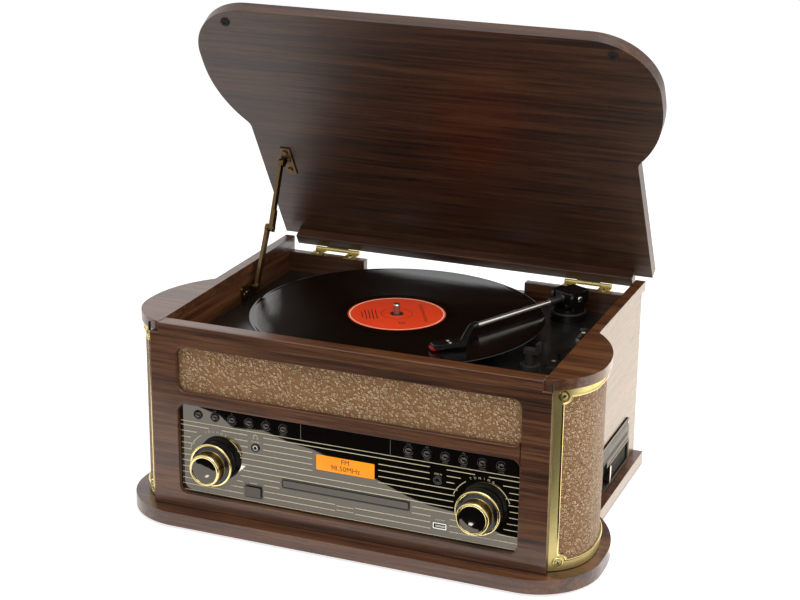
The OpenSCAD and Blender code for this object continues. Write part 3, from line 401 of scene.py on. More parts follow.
def make_finishes(looks):
    """Every finish by its name. The names of the record's slots come first."""
    gold = list(looks.gold) + [1]
    made = {
        "walnut": walnut("walnut_across", 0, looks),
        "walnut_side": walnut("walnut_side", 1, looks, seed=3.3),
        "walnut_lid": walnut("walnut_lid", 0, looks, seed=6.1, deep=0.55, haze=0.38, lacquer=0.3),
        "dark_walnut": walnut("dark_walnut", 0, looks, seed=5.5, deep=0.6),
        "grille_cloth": speaker_cloth("grille_cloth", looks),
        "rubber": grained("rubber", rgb(22, 21, 20), 0.75, 0.6, depth=0.05),
        "gold_trim": brushed("gold_trim", gold, 0.36, (0, 0, 1), 0.6, 0),
        "polished_gold": grained("polished_gold", rgb(236, 216, 152), 0.16, 3, 0.05, metallic=1),
        # Gold painted darker, a painted reflection: it stands for polished gold that mirrors dark
        # surroundings.
        "gold_painted_dark_reflection": grained("gold_painted_dark_reflection", rgb(132, 108, 60), 0.24, 3, 0.1, metallic=1),
        "old_brass": brushed("old_brass", rgb(104, 82, 55), 0.34, (0, 0, 0), 0.7, 0.02),
        "fascia_black": gloss_black("fascia_black", rgb(6, 5, 4), 0.02),
        "print_cream": grained("print_cream", rgb(240, 226, 188), 0.4, 0.5, 0.06),
        "print_grey": grained("print_grey", rgb(120, 112, 98), 0.4, 0.5, 0.06),
        "circuit_board": grained("circuit_board", rgb(22, 70, 38), 0.4, 1.5),
        "nickel": grained("nickel", rgb(205, 202, 196), 0.16, 2, 0.06, metallic=1),
        "chrome": grained("chrome", rgb(232, 230, 226), 0.07, 3, 0.04, metallic=1),
        "steel": brushed("steel", rgb(165, 162, 156), 0.32, (0, 0, 0), 0.5, 0.01),
        "knob_black": grained("knob_black", rgb(14, 13, 12), 0.24, 1.2, 0.15, 0.004, ior=1.6),
        "knob_face": gloss_black("knob_face", rgb(9, 8, 8), 0.07, 1.9),
        "button_black": gloss_black("button_black", rgb(12, 12, 13), 0.1, 1.8),
        "deck_black": grained("deck_black", rgb(24, 22, 18), 0.22, 0.7, 0.15, 0.02, ior=1.7),
        "record_vinyl": vinyl("record_vinyl", looks),
        "label_orange": grained("label_orange", list(looks.label) + [1], 0.62, 0.4, 0.06, 0.01),
        "label_print": grained("label_print", rgb(52, 16, 10), 0.5, 0.5),
        "platter_metal": brushed("platter_metal", rgb(172, 170, 166), 0.3, (0, 0, 0), 0.8, 0.02),
        "arm_black": grained("arm_black", rgb(14, 13, 12), 0.26, 0.9, 0.15, 0.01, ior=1.55),
        "arm_grey": grained("arm_grey", rgb(66, 63, 59), 0.34, 0.9, 0.12, metallic=0.5),
        "arm_metal": grained("arm_metal", rgb(250, 245, 234), 0.3, 3, 0.04, metallic=1),
        "stylus_red": grained("stylus_red", rgb(188, 28, 18), 0.3, 1.0, 0.1),
        "cassette_metal": brushed("cassette_metal", rgb(128, 116, 98), 0.36, (0, 1, 0), 0.4, 0.01),
        "cassette_dark": grained("cassette_dark", rgb(34, 29, 22), 0.4, 0.6, 0.1, 0.01),
        "inner_black": grained("inner_black", rgb(13, 12, 11), 0.6, 1.0, 0.15, 0.03),
        "drawer_black": gloss_black("drawer_black", rgb(15, 14, 13), 0.1, 1.9),
        "display_glow": lit_display("display_glow", looks),
        "display_ink": grained("display_ink", rgb(100, 24, 0), 0.5, 0.3, 0.05),
        "socket_white": grained("socket_white", rgb(214, 212, 204), 0.35, 0.8, 0.05),
    }
    return made


# ---------- shapes ----------


def rounded(width, height, radius, steps=5):
    """The outline of a rectangle with rounded corners about the origin, anticlockwise."""
    points = []
    corners = ((1, 1, 0), (-1, 1, 90), (-1, -1, 180), (1, -1, 270))
    for sx, sy, start in corners:
        middle_x, middle_y = sx * (width / 2 - radius), sy * (height / 2 - radius)
        for step in range(steps + 1):
            turn = math.radians(start + 90 * step / steps)
            points.append((middle_x + radius * math.cos(turn), middle_y + radius * math.sin(turn)))
    return points


def circle(radius, sides=32, x=0.0, y=0.0, start=0.0, sweep=360.0):
    """Points round a circle, or along an arc with both its ends."""
    count = sides if sweep == 360 else sides + 1
    turns = [math.radians(start + sweep * k / sides) for k in range(count)]
    return [(x + radius * math.cos(t), y + radius * math.sin(t)) for t in turns]


class Shape:
    """The mesh of one piece while it is made."""

    def __init__(self):
        self.mesh = bmesh.new()

    def point(self, place, x, y, z):
        return self.mesh.verts.new(place @ Vector((x, y, z)))

    def face(self, corners, finish=0):
        if len(set(corners)) < 3:
            return
        made = self.mesh.faces.new(corners)
        made.material_index = finish
        made.smooth = True

    def skin(self, rows, finish=0, ring=True, closed=False):
        """Joins rows of points by faces. A row of one point is a tip."""
        pairs = list(zip(rows, rows[1:]))
        if closed:
            pairs.append((rows[-1], rows[0]))
        for low, high in pairs:
            count = max(len(low), len(high))
            for k in range(count if ring else count - 1):
                after = (k + 1) % count
                corners = [low[k % len(low)], low[after % len(low)],
                           high[after % len(high)], high[k % len(high)]]
                self.face(list(dict.fromkeys(corners)), finish)

    def lathe(self, place, profile, sides=48, finish=0):
        """Turns (radius, height) or (radius, height, rib depth) about the frame's z."""
        rows = []
        for radius, height, *rib in profile:
            if radius < 1e-6:
                rows.append([self.point(place, 0, 0, height)])
                continue
            depth = rib[0] if rib else 0
            row = []
            for k in range(sides):
                turn = 2 * math.pi * k / sides
                here = radius - depth * (k % 2)
                row.append(self.point(place, here * math.cos(turn), here * math.sin(turn), height))
            rows.append(row)
        self.skin(rows, finish)

    def prism(self, place, outline, low, high, finish=0, edge=0.0):
        """A plate between two heights, its top edge cut back by edge."""
        rows = [[self.point(place, x, y, z) for x, y in outline] for z in (low, high - edge)]
        if edge:
            span = max(max(abs(x), abs(y)) for x, y in outline)
            scale = 1 - edge / span
            rows.append([self.point(place, x * scale, y * scale, high) for x, y in outline])
        self.skin(rows, finish)
        self.face(rows[0][::-1], finish)
        self.face(rows[-1], finish)

    def plate_ring(self, place, outer, inner, low, high, finish=0):
        """A plate with a hole: both outlines have the same number of points."""
        ends = ((outer, low), (outer, high), (inner, high), (inner, low))
        rows = [[self.point(place, x, y, z) for x, y in outline] for outline, z in ends]
        self.skin(rows, finish, closed=True)

    def strip(self, place, left, right, height, width, thick=INK, finish=0):
        """A printed line from left to right at a height."""
        outline = [(left, height - width / 2), (right, height - width / 2),
                   (right, height + width / 2), (left, height + width / 2)]
        self.prism(place, outline, 0, thick, finish)

    def arc(self, place, x, y, radius, width, start, sweep, finish=0):
        """A printed arc."""
        outer = circle(radius + width / 2, 28, x, y, start, sweep)
        inner = circle(radius - width / 2, 28, x, y, start, sweep)
        self.prism(place, outer + inner[::-1], 0, INK, finish)

    def tube(self, points, radius, sides=16, finish=0):
        """A round bar along points, with the same or its own radius at each."""
        points = [Vector(p) for p in points]
        radii = radius if hasattr(radius, "__len__") else [radius] * len(points)
        side = None
        rows = []
        for k, here in enumerate(points):
            ahead = points[min(k + 1, len(points) - 1)] - points[max(k - 1, 0)]
            ahead.normalize()
            if side is None:
                side = ahead.orthogonal().normalized()
            side = (side - ahead * side.dot(ahead)).normalized()
            other = ahead.cross(side)
            turns = [2 * math.pi * s / sides for s in range(sides)]
            rows.append([self.mesh.verts.new(
                here + radii[k] * (side * math.cos(t) + other * math.sin(t))) for t in turns])
        self.skin(rows, finish)
        self.face(rows[0][::-1], finish)
        self.face(rows[-1], finish)

    def bead(self, path, normals, section):
        """Sweeps a section of (aside, out) points round a closed path that lies on a surface."""
        count = len(path)
        rows = []
        for k, (here, out) in enumerate(zip(path, normals)):
            ahead = path[(k + 1) % count] - path[k - 1]
            aside = ahead.normalized().cross(out).normalized()
            rows.append([self.mesh.verts.new(here + aside * u + out * v) for u, v in section])
        self.skin(rows, closed=True)

    def words(self, place, text, height, finish=0):
        """Lettering centred on the frame, standing just above its plane."""
        curve = bpy.data.curves.new("lettering", "FONT")
        curve.body = text
        curve.align_x = "CENTER"
        curve.align_y = "CENTER"
        curve.size = height * 1.38
        curve.resolution_u = 2
        carrier = bpy.data.objects.new("lettering", curve)
        bpy.context.scene.collection.objects.link(carrier)
        drawn = carrier.evaluated_get(bpy.context.evaluated_depsgraph_get()).to_mesh()
        made = [self.point(place, v.co.x, v.co.y, INK) for v in drawn.vertices]
        for polygon in drawn.polygons:
            self.face([made[v] for v in polygon.vertices], finish)
        bpy.data.objects.remove(carrier)
        bpy.data.curves.remove(curve)

    def cross_screw(self, place, radius, height, finish=0, dark=None):
        """A domed screw head with a cross recess, its seat on the frame's plane."""
        dark = finish if dark is None else dark
        rim = [(radius, 0), (radius, height * 0.45), (radius * 0.9, height * 0.8)]
        dome = [(radius * 0.62, height), (radius * 0.3, height * 1.04)]
        self.lathe(place, rim + dome + [(0, height * 1.05)], 28, finish)
        arm, thick = radius * 0.58, radius * 0.15  # the recess, drawn as two bars
        for turn in (0, 90):
            bar = [(-arm, -thick), (arm, -thick), (arm, thick), (-arm, thick)]
            turned = place @ Matrix.Rotation(math.radians(turn + 20), 4, "Z")
            self.prism(turned, bar, height * 0.9, height * 1.08, dark)


def piece(name, shape, body, finishes, replaces=(), bevel=0.0, angle=38):
    """Turns a shape into an object that rides on a CAD body."""
    bmesh.ops.recalc_face_normals(shape.mesh, faces=shape.mesh.faces)
    shape.mesh.transform(Matrix.Scale(MM, 4))
    data = bpy.data.meshes.new(name)
    shape.mesh.to_mesh(data)
    shape.mesh.free()
    data.set_sharp_from_angle(angle=math.radians(angle))
    for finish in finishes:
        data.materials.append(FINISHES[finish])
    made = bpy.data.objects.new(name, data)
    bpy.context.scene.collection.objects.link(made)
    if bevel:
        soften(made, bevel)
    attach(made, body)
    if replaces:
        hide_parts(*replaces)
    return made


def soften(made, width, weld=False):
    """Rounds a piece's sharp edges, so that they catch the light."""
    if weld:
        joined = made.modifiers.new("joined", "WELD")
        joined.merge_threshold = 0.00001
    edge = made.modifiers.new("edge", "BEVEL")
    edge.width = width * MM
    edge.segments = 2
    edge.limit_method = "ANGLE"
    edge.angle_limit = math.radians(35)
    edge.use_clamp_overlap = True
    flat = made.modifiers.new("flat_faces", "WEIGHTED_NORMAL")
    flat.mode = "FACE_AREA"
    flat.weight = 100
    flat.keep_sharp = True


FINISHES = {}


def dress(finish, width, *names):
    """Gives CAD nodes their finish and softened edges."""
    for name in names:
        node = frame["nodes"][name]
        node.data.materials.clear()
        node.data.materials.append(FINISHES[finish])
        for polygon in node.data.polygons:
            polygon.material_index = 0
        if width:
            soften(node, width, weld=True)
            node.data.set_sharp_from_angle(angle=math.radians(35))


# ---------- the speaker columns ----------

# The columns' outline is an arc round LOBE, and near the side one round FLANK
LOBE = Vector((178.5, -102.5))
FLANK = Vector((123.5, -96.0))
FLANK_MORE = 55.0
FLANK_TURN = 9.2
COLUMN_CENTRE = Vector((178.5, -100.0))
CLOTH_RADIUS = 55.1
FRAME_RADIUS = 56.5
SCREW_X = 212.4
SCREW_ZS = (26.5, 193.0)


def column_point(radius, turn):
    """(x, y) of the right column's curve; turn is measured from +X towards -Y, in degrees."""
    ahead = Vector((math.cos(math.radians(turn)), -math.sin(math.radians(turn))))
    centre, size = (LOBE, radius) if turn > FLANK_TURN else (FLANK, radius + FLANK_MORE)
    offset = COLUMN_CENTRE - centre
    along = offset.dot(ahead)
    return COLUMN_CENTRE + ahead * (-along + math.sqrt(along**2 - offset.length_squared + size**2))


def column_curve(radius, first, last, count):
    """Points and outward directions along the column, from the front round to the side."""
    turns = [first + (last - first) * k / count for k in range(count + 1)]
    points = [column_point(radius, t) for t in turns]
    outs = []
    for k in range(len(points)):
        step = points[min(k + 1, count)] - points[max(k - 1, 0)]
        outs.append(Vector((step.y, -step.x)).normalized())
    middle_out = points[count // 2] - COLUMN_CENTRE
    if outs[count // 2].dot(middle_out) < 0:
        outs = [-out for out in outs]
    return points, outs


class ColumnFace:
    """Maps a distance along the column's curve and a height to a point and its direction."""

    def __init__(self, radius, side):
        self.side = side
        self.points, self.outs = column_curve(radius, 66, -75, 400)
        self.distances = [0.0]
        for a, b in zip(self.points, self.points[1:]):
            self.distances.append(self.distances[-1] + (b - a).length)

    def at(self, distance, height, out=0.0):
        k = 0
        while k < len(self.distances) - 2 and self.distances[k + 1] < distance:
            k += 1
        share = (distance - self.distances[k]) / (self.distances[k + 1] - self.distances[k])
        flat = self.points[k].lerp(self.points[k + 1], share)
        normal = self.outs[k].lerp(self.outs[k + 1], share).normalized()
        flat = flat + normal * out
        return (Vector((flat.x * self.side, flat.y, height)),
                Vector((normal.x * self.side, normal.y, 0)))

    def where(self, test):
        """The distance at which the curve first passes a test."""
        return next(d for d, p in zip(self.distances, self.points) if test(p))


def cloth_grid(across, up, at):
    """A sheet of square faces; at gives the point at two shares, across and up."""
    shape = Shape()
    rows = [[shape.mesh.verts.new(at(k / across, row / up)) for k in range(across + 1)]
            for row in range(up + 1)]
    shape.skin(rows, ring=False)
    return shape


# ---------- operators ----------


class MUSIC_OT_cabinet(bpy.types.Operator):
    """Finishes the boards, panels and feet, and adds the joint lines between them"""

    bl_idname = "music.cabinet"
    bl_label = "Cabinet"

    def execute(self, context):
        looks = context.scene.music_looks
        dress("walnut", looks.edge, "front_panel", "plinth", "cap_boards")
        dress("walnut_side", 0.6, "left_side_panel", "right_side_panel")
        dress("dark_walnut", 0.4, "rear_panel")
        dress("rubber", 0.4, "feet")
        low, high = box("front_panel")
        lines = Shape()
        front = on_front(0, 0, FRONT_Y)
        cap_joint = 196.6
        lines.strip(front, low.x + 0.6, high.x - 0.6, cap_joint, 0.5, 0.06)
        lines.strip(front, low.x, high.x, low.z + 0.35, 0.7, 0.06)
        cap_low = box("cap_boards")[0].z
        for side in (-1, 1):
            ax, ay, bx, by = low.x + 1.5, FRONT_Y + 1.5, low.x + 17, FRONT_Y + 16.6
            ax, bx, half = side * ax, side * bx, 0.25
            mitre = [(ax, ay - half), (bx, by - half), (bx, by + half), (ax, ay + half)]
            lines.prism(upright(0, 0, high.z), mitre, -0.01, 0.05)
            near, far = side * 204.7, side * 205.6
            gap = [(near, FRONT_Y - 0.4), (far, FRONT_Y - 0.4), (far, FRONT_Y + 3),
                   (near, FRONT_Y + 3)]
            lines.prism(upright(0, 0, cap_low), gap, 0, high.z - cap_low - 0.6)
        piece("joint_lines", lines, "cabinet", ["inner_black"])
        return {"FINISHED"}


class MUSIC_OT_grilles(bpy.types.Operator):
    """Stretches the speaker cloths and adds the beads, screw seats and screws of the grille frames"""

    bl_idname = "music.grilles"
    bl_label = "Speaker grilles"

    def execute(self, context):
        dress("inner_black", 0, "grille_shells", "speaker_drivers")
        dress("gold_trim", 0, "grille_frames")
        self.front_cloth()
        for side, word in ((-1, "left"), (1, "right")):
            self.column_cloth(side, word)
            self.frame_bead(side, word)
        self.seats()
        return {"FINISHED"}

    def front_cloth(self):
        low, high = box("front_speaker_cloth")
        y = low.y + 0.4
        shape = cloth_grid(120, 20, lambda x, z: (
            low.x + (high.x - low.x) * x, y, low.z + (high.z - low.z) * z))
        cloth = piece("front_cloth", shape, "cabinet", ["grille_cloth"],
                      ["front_speaker_cloth"])

    def column_cloth(self, side, word):
        low, high = box("grille_cloths")
        face = ColumnFace(CLOTH_RADIUS, side)
        start = face.where(lambda p: p.x > 205.2)
        end = face.where(lambda p: p.y > high.y - 0.3)
        shape = cloth_grid(90, 40, lambda along, z: face.at(
            start + (end - start) * along, low.z + (high.z - low.z) * z)[0])
        stands_for = ["grille_cloths"] if side < 0 else []
        cloth = piece(f"column_cloth_{word}", shape, "cabinet", ["grille_cloth"],
                      stands_for)
        size = ((end - start) * MM, (high.z - low.z) * MM)

    def frame_bead(self, side, word):
        """A raised bead round the window of one frame, stepping round both screw seats."""
        face = ColumnFace(FRAME_RADIUS, side)
        front = face.where(lambda p: p.x > SCREW_X - 0.6)
        boss = face.where(lambda p: p.x > SCREW_X)
        rear = face.where(lambda p: p.y > -34)
        low, high, notch = 27.7, 192.2, 7.6
        boss_low, boss_high = SCREW_ZS
        flat = []

        def line(a, b, step=3.0):
            count = max(1, int(math.hypot(b[0] - a[0], b[1] - a[1]) / step))
            flat.extend((a[0] + (b[0] - a[0]) * k / count, a[1] + (b[1] - a[1]) * k / count)
                        for k in range(count))

        def seat(z, first, last):
            for k in range(9):
                turn = math.radians(first + (last - first) * k / 8)
                flat.append((boss + notch * math.cos(turn), z + notch * math.sin(turn)))

        line((boss + 8, low), (rear, low))
        line((rear, low), (rear, high))
        line((rear, high), (boss + 8, high))
        seat(boss_high, -6, -94)
        line((front, boss_high - 8), (front, boss_low + 8))
        seat(boss_low, 94, 6)
        places = [face.at(s, z, 0.0) for s, z in flat]
        section = [(-1.0, -0.3), (-0.9, 0.5), (-0.3, 0.9), (0.4, 0.8), (0.9, 0.3), (0.9, -0.3)]
        shape = Shape()
        shape.bead([p for p, _ in places], [n for _, n in places], section)
        piece(f"frame_bead_{word}", shape, "cabinet", ["polished_gold"])

    def seats(self):
        """The ring round each dome screw of the grille frames, and the screw in it."""
        rings, heads = Shape(), Shape()
        turn = math.asin((SCREW_X - LOBE.x) / FRAME_RADIUS)
        for side in (-1, 1):
            out = Vector((side * math.sin(turn), -math.cos(turn), 0))
            aside = Vector((0, 0, 1)).cross(out)
            for z in SCREW_ZS:
                at = Vector((side * LOBE.x, LOBE.y, z)) + out * FRAME_RADIUS
                place = axes(aside, (0, 0, 1), out, at)
                rings.lathe(place, [(5.4, -0.4), (5.4, 0.5), (5.0, 1.1), (4.4, 1.1), (3.9, 0.4),
                                    (3.9, -0.4)], 36)
                heads.cross_screw(place, 3.4, 1.5, 0, 1)
        piece("screw_seats", rings, "cabinet", ["polished_gold"])
        piece("grille_screws", heads, "cabinet", ["gold_trim", "inner_black"],
              ["screws"])


# Printing and openings of the fascia: x from its middle, and z. Windows are (width, height, z)
FASCIA_HALF = 176.0
BAND_LOW = 108.4
LINE_LOW = 34.6
LINE_STEP = 6.31
LINE_COUNT = 12
KNOB = Vector((138.5, 70.2))
KEY_Z = 117.0
KEY_XS = [65 + 18.4 * k for k in range(6)]
KEY_PLACES = [-x for x in reversed(KEY_XS)] + KEY_XS
SOCKET = Vector((97.7, 45.0))
JACK = Vector((95.0, 92.0))
DISPLAY = (61.0, 16.2, 88.6)
TRAY = (130.6, 6.8, 59.7)


def line_gaps(z):
    """The spans of x that a printed line at a height leaves free."""
    gaps = []

    def hole(x, middle_z, half_w, half_h):
        if abs(z - middle_z) < half_h:
            gaps.append((x - half_w, x + half_w))

    for side in (-1, 1):
        reach = 34.5 if z > KNOB.y + 17 else 28.0
        if abs(z - KNOB.y) < reach:
            half = math.sqrt(reach**2 - (z - KNOB.y) ** 2)
            gaps.append((side * KNOB.x - half, side * KNOB.x + half))
        hole(side * JACK.x, JACK.y + 3.5, 8.5, 9.0)
    hole(0, DISPLAY[2], DISPLAY[0] / 2 + 4, DISPLAY[1] / 2 + 2)
    hole(0, TRAY[2], TRAY[0] / 2 + 4, 6.2)
    hole(-SOCKET.x, SOCKET.y + 1.5, 11.5, 10.5)
    hole(SOCKET.x, SOCKET.y + 1.5, 9.5, 9.5)
    hole(0, 44, 10.5, 7.5)
    return sorted(gaps)


class MUSIC_OT_fascia(bpy.types.Operator):
    """Prints the fascia, fits the lit display and finishes the sockets"""

    bl_idname = "music.fascia"
    bl_label = "Fascia"

    def execute(self, context):
        looks = context.scene.music_looks
        dress("fascia_black", 0, "fascia")
        dress("circuit_board", 0, "display_board")
        dress("nickel", 0.15, "front_sockets")
        self.printing(looks)
        self.display(looks)
        self.sockets()
        return {"FINISHED"}

    def printing(self, looks):
        shape = Shape()
        face = on_front(0, 0, FASCIA_Y)
        for k in range(LINE_COUNT):
            z = LINE_LOW + LINE_STEP * k
            start = -FASCIA_HALF
            for left, right in [*line_gaps(z), (FASCIA_HALF, FASCIA_HALF)]:
                if left - start > 2:
                    shape.strip(face, start, left, z, looks.line_width)
                start = max(start, right)
        shape.strip(face, -FASCIA_HALF, FASCIA_HALF, BAND_LOW, 0.6)
        for side, word in ((-1, "VOLUME"), (1, "TUNING")):
            self.knob_arc(shape, side * KNOB.x, KNOB.y, word)
        below = ("PLAY", "STOP", "BACK", "NEXT", "FOLDER", "REPEAT",
                 "SOURCE", "TONE", "PROG", "MODE", "CLOCK", "MUTE")
        above = ("", "ON", "II", "", "+", "-", "TAPE", "AUX", "", "REC", "", "")
        for x, name in zip(KEY_PLACES, below):
            shape.words(on_front(x, KEY_Z - 6.6, FASCIA_Y), name, 1.5, 1)
        for x, name in zip(KEY_PLACES, above):
            if name:
                shape.words(on_front(x, KEY_Z + 6.3, FASCIA_Y), name, 1.4, 1)
        for x, z, name in ((-JACK.x, JACK.y + 6, "PHONES"), (JACK.x, JACK.y + 6, "LINE IN"),
                           (-SOCKET.x, SOCKET.y + 8.5, "POWER"), (SOCKET.x, SOCKET.y + 6, "MEMORY")):
            shape.words(on_front(x, z, FASCIA_Y), name, 1.7, 0)
        self.headphone_mark(shape, -JACK.x, JACK.y + 11.2)
        for side in (-1, 1):
            shape.strip(face @ upright(side * 46.5, 0, 0), -0.25, 0.25, 116.6, 16.2, finish=1)
        for z in (46.2, 41.8):
            shape.strip(face, -9, 9, z, 0.6)
        piece("fascia_print", shape, "cabinet", ["print_cream", "print_grey"])

    def knob_arc(self, shape, x, z, word):
        face = on_front(x, z, FASCIA_Y)
        shape.arc(face, 0, 0, 29.6, 0.7, 20, 38)
        shape.arc(face, 0, 0, 29.6, 0.7, 122, 38)
        for k, letter in enumerate(word):
            turn = math.radians(21 - 8.4 * k)
            at = face @ Matrix.Rotation(turn, 4, "Z") @ upright(0, 31.0, 0)
            shape.words(at, letter, 2.4)

    def headphone_mark(self, shape, x, z):
        face = on_front(x, z, FASCIA_Y)
        shape.arc(face, 0, 0, 2.3, 0.55, -25, 230)
        for side in (-1, 1):
            ear = [(side * 1.6, -2.1), (side * 2.6, -2.1), (side * 2.6, 0), (side * 1.6, 0)]
            shape.prism(face, ear, 0, 0.05)

    def display(self, looks):
        width, height, z = DISPLAY
        glow = Shape()
        glow.prism(on_front(0, z, FASCIA_Y + 0.9), rounded(width - 0.2, height - 0.2, 0.8), 0, 0.5)
        piece("display_window", glow, "cabinet", ["display_glow"])
        ink = Shape()
        face = on_front(0, z, FASCIA_Y + 0.4)
        ink.words(face @ upright(0, 3.7, 0), "FM", 5.2)
        ink.words(face @ upright(0, -3.4, 0), looks.display_text, 5.4)
        piece("display_ink", ink, "cabinet", ["display_ink"])

    def sockets(self):
        shape = Shape()
        rim = on_front(SOCKET.x, SOCKET.y, FASCIA_Y - 0.3)
        shape.plate_ring(rim, rounded(13.6, 6.2, 0.9), rounded(12.0, 4.6, 0.4), -0.2, 0.35, 0)
        tongue = [(-5.2, -1.9), (5.2, -1.9), (5.2, 0.1), (-5.2, 0.1)]
        shape.prism(on_front(SOCKET.x, SOCKET.y, FASCIA_Y + 8), tongue, 0, 7.2, 1)
        for k in range(4):
            pad = on_front(SOCKET.x - 3.9 + 2.6 * k, SOCKET.y + 0.12, FASCIA_Y + 8)
            shape.prism(pad, [(-0.6, 0), (0.6, 0), (0.6, 0.12), (-0.6, 0.12)], 0.5, 6.5, 2)
        piece("data_socket", shape, "cabinet", ["chrome", "socket_white", "polished_gold"])
        rings = Shape()
        for side in (-1, 1):
            at = on_front(side * JACK.x, JACK.y, FASCIA_Y)
            rings.lathe(at, [(4.7, 0.0), (4.6, 0.8), (3.9, 1.15), (3.0, 1.1), (2.2, 0.6),
                             (1.9, -1.2)], 36)
        piece("jack_rings", rings, "cabinet", ["knob_black"])


class MUSIC_OT_keys(bpy.types.Operator):
    """Makes the twelve domed buttons and the power button"""

    bl_idname = "music.keys"
    bl_label = "Buttons"

    def execute(self, context):
        low = box("button_1")[0]
        inner = box("button_1")[1].y - FASCIA_Y
        collars = Shape()
        for number, x in enumerate(KEY_PLACES, 1):
            at = on_front(x, KEY_Z, FASCIA_Y)
            crown = FASCIA_Y - low.y
            dome = [(0, crown), (1.3, crown - 0.1), (2.3, crown - 0.45), (3.1, crown - 1.1),
                    (3.6, crown - 1.9), (3.8, 0.2), (3.8, -3.3), (5.0, -3.3), (5.0, -5), (2.4, -5),
                    (2.4, -inner), (0, -inner)]
            shape = Shape()
            shape.lathe(at, dome, 36)
            piece(f"key_{number}", shape, f"key_{number}", ["button_black"],
                  [f"button_{number}"])
            collars.lathe(at, [(5.1, 0), (5.0, 0.35), (4.6, 0.5), (4.2, 0.3), (4.15, -0.6)], 36)
        piece("key_collars", collars, "cabinet", ["knob_black"])
        dress("button_black", 0.5, "power_button")
        frame_ring = Shape()
        at = on_front(-SOCKET.x, SOCKET.y, FASCIA_Y)
        frame_ring.plate_ring(at, rounded(19.4, 14.2, 1.6), rounded(17.2, 12.0, 1.2), -0.1, 0.4)
        piece("power_surround", frame_ring, "cabinet", ["knob_black"], bevel=0.12)
        return {"FINISHED"}


class MUSIC_OT_knobs(bpy.types.Operator):
    """Makes the two big knobs: knurled skirt, gold ring, step of gold painted dark as a painted
    reflection, gold rim and domed face
    """

    bl_idname = "music.knobs"
    bl_label = "Knobs"

    def execute(self, context):
        rib, small_rib = 0.42, 0.3
        for side, name in ((-1, "volume"), (1, "tuning")):
            at = on_front(side * KNOB.x, KNOB.y, FASCIA_Y)
            shape = Shape()
            shape.lathe(at, [(20.8, 0.45), (21.6, 0.6), (22.0, 1.2, 0), (22.0, 1.6, rib),
                             (22.0, 9.6, rib), (21.9, 10.2, 0), (21.6, 10.4)], 300, 0)
            shape.lathe(at, [(21.5, 10.2), (22.2, 10.3), (22.6, 10.7), (22.6, 11.2), (22.1, 11.9),
                             (21.2, 12.2), (20.3, 12.0), (19.9, 11.5)], 128, 1)
            shape.lathe(at, [(20.2, 11.6), (19.6, 11.8), (17.0, 12.4), (16.4, 12.9)], 128, 0)
            # The knurled step is in the gold painted darker, a painted reflection of dark surroundings.
            shape.lathe(at, [(16.5, 12.8), (16.0, 13.2, 0), (16.0, 13.6, small_rib),
                             (15.8, 18.6, small_rib), (15.8, 19.0, 0)], 220, 2)
            shape.lathe(at, [(15.8, 18.8), (15.7, 20.4), (15.2, 21.6)], 128, 2)
            shape.lathe(at, [(15.3, 21.4), (15.9, 21.8), (16.3, 22.6), (16.4, 24.2), (16.1, 25.2),
                             (15.3, 25.9), (14.3, 26.0), (13.5, 25.6), (13.1, 24.7)], 128, 1)
            shape.lathe(at, [(13.3, 24.8), (12.4, 24.9), (10.6, 25.3), (8.2, 25.65), (5.4, 25.88),
                             (2.6, 25.97), (0, 26.0)], 96, 3)
            shape.lathe(at, [(20.8, 0.45), (3.05, 0.45), (3.0, -21.9), (0, -21.9)], 64, 0)
            piece(f"{name}_dial", shape, name,
                  ["knob_black", "polished_gold", "gold_painted_dark_reflection", "knob_face"], [f"{name}_knob"])
        return {"FINISHED"}


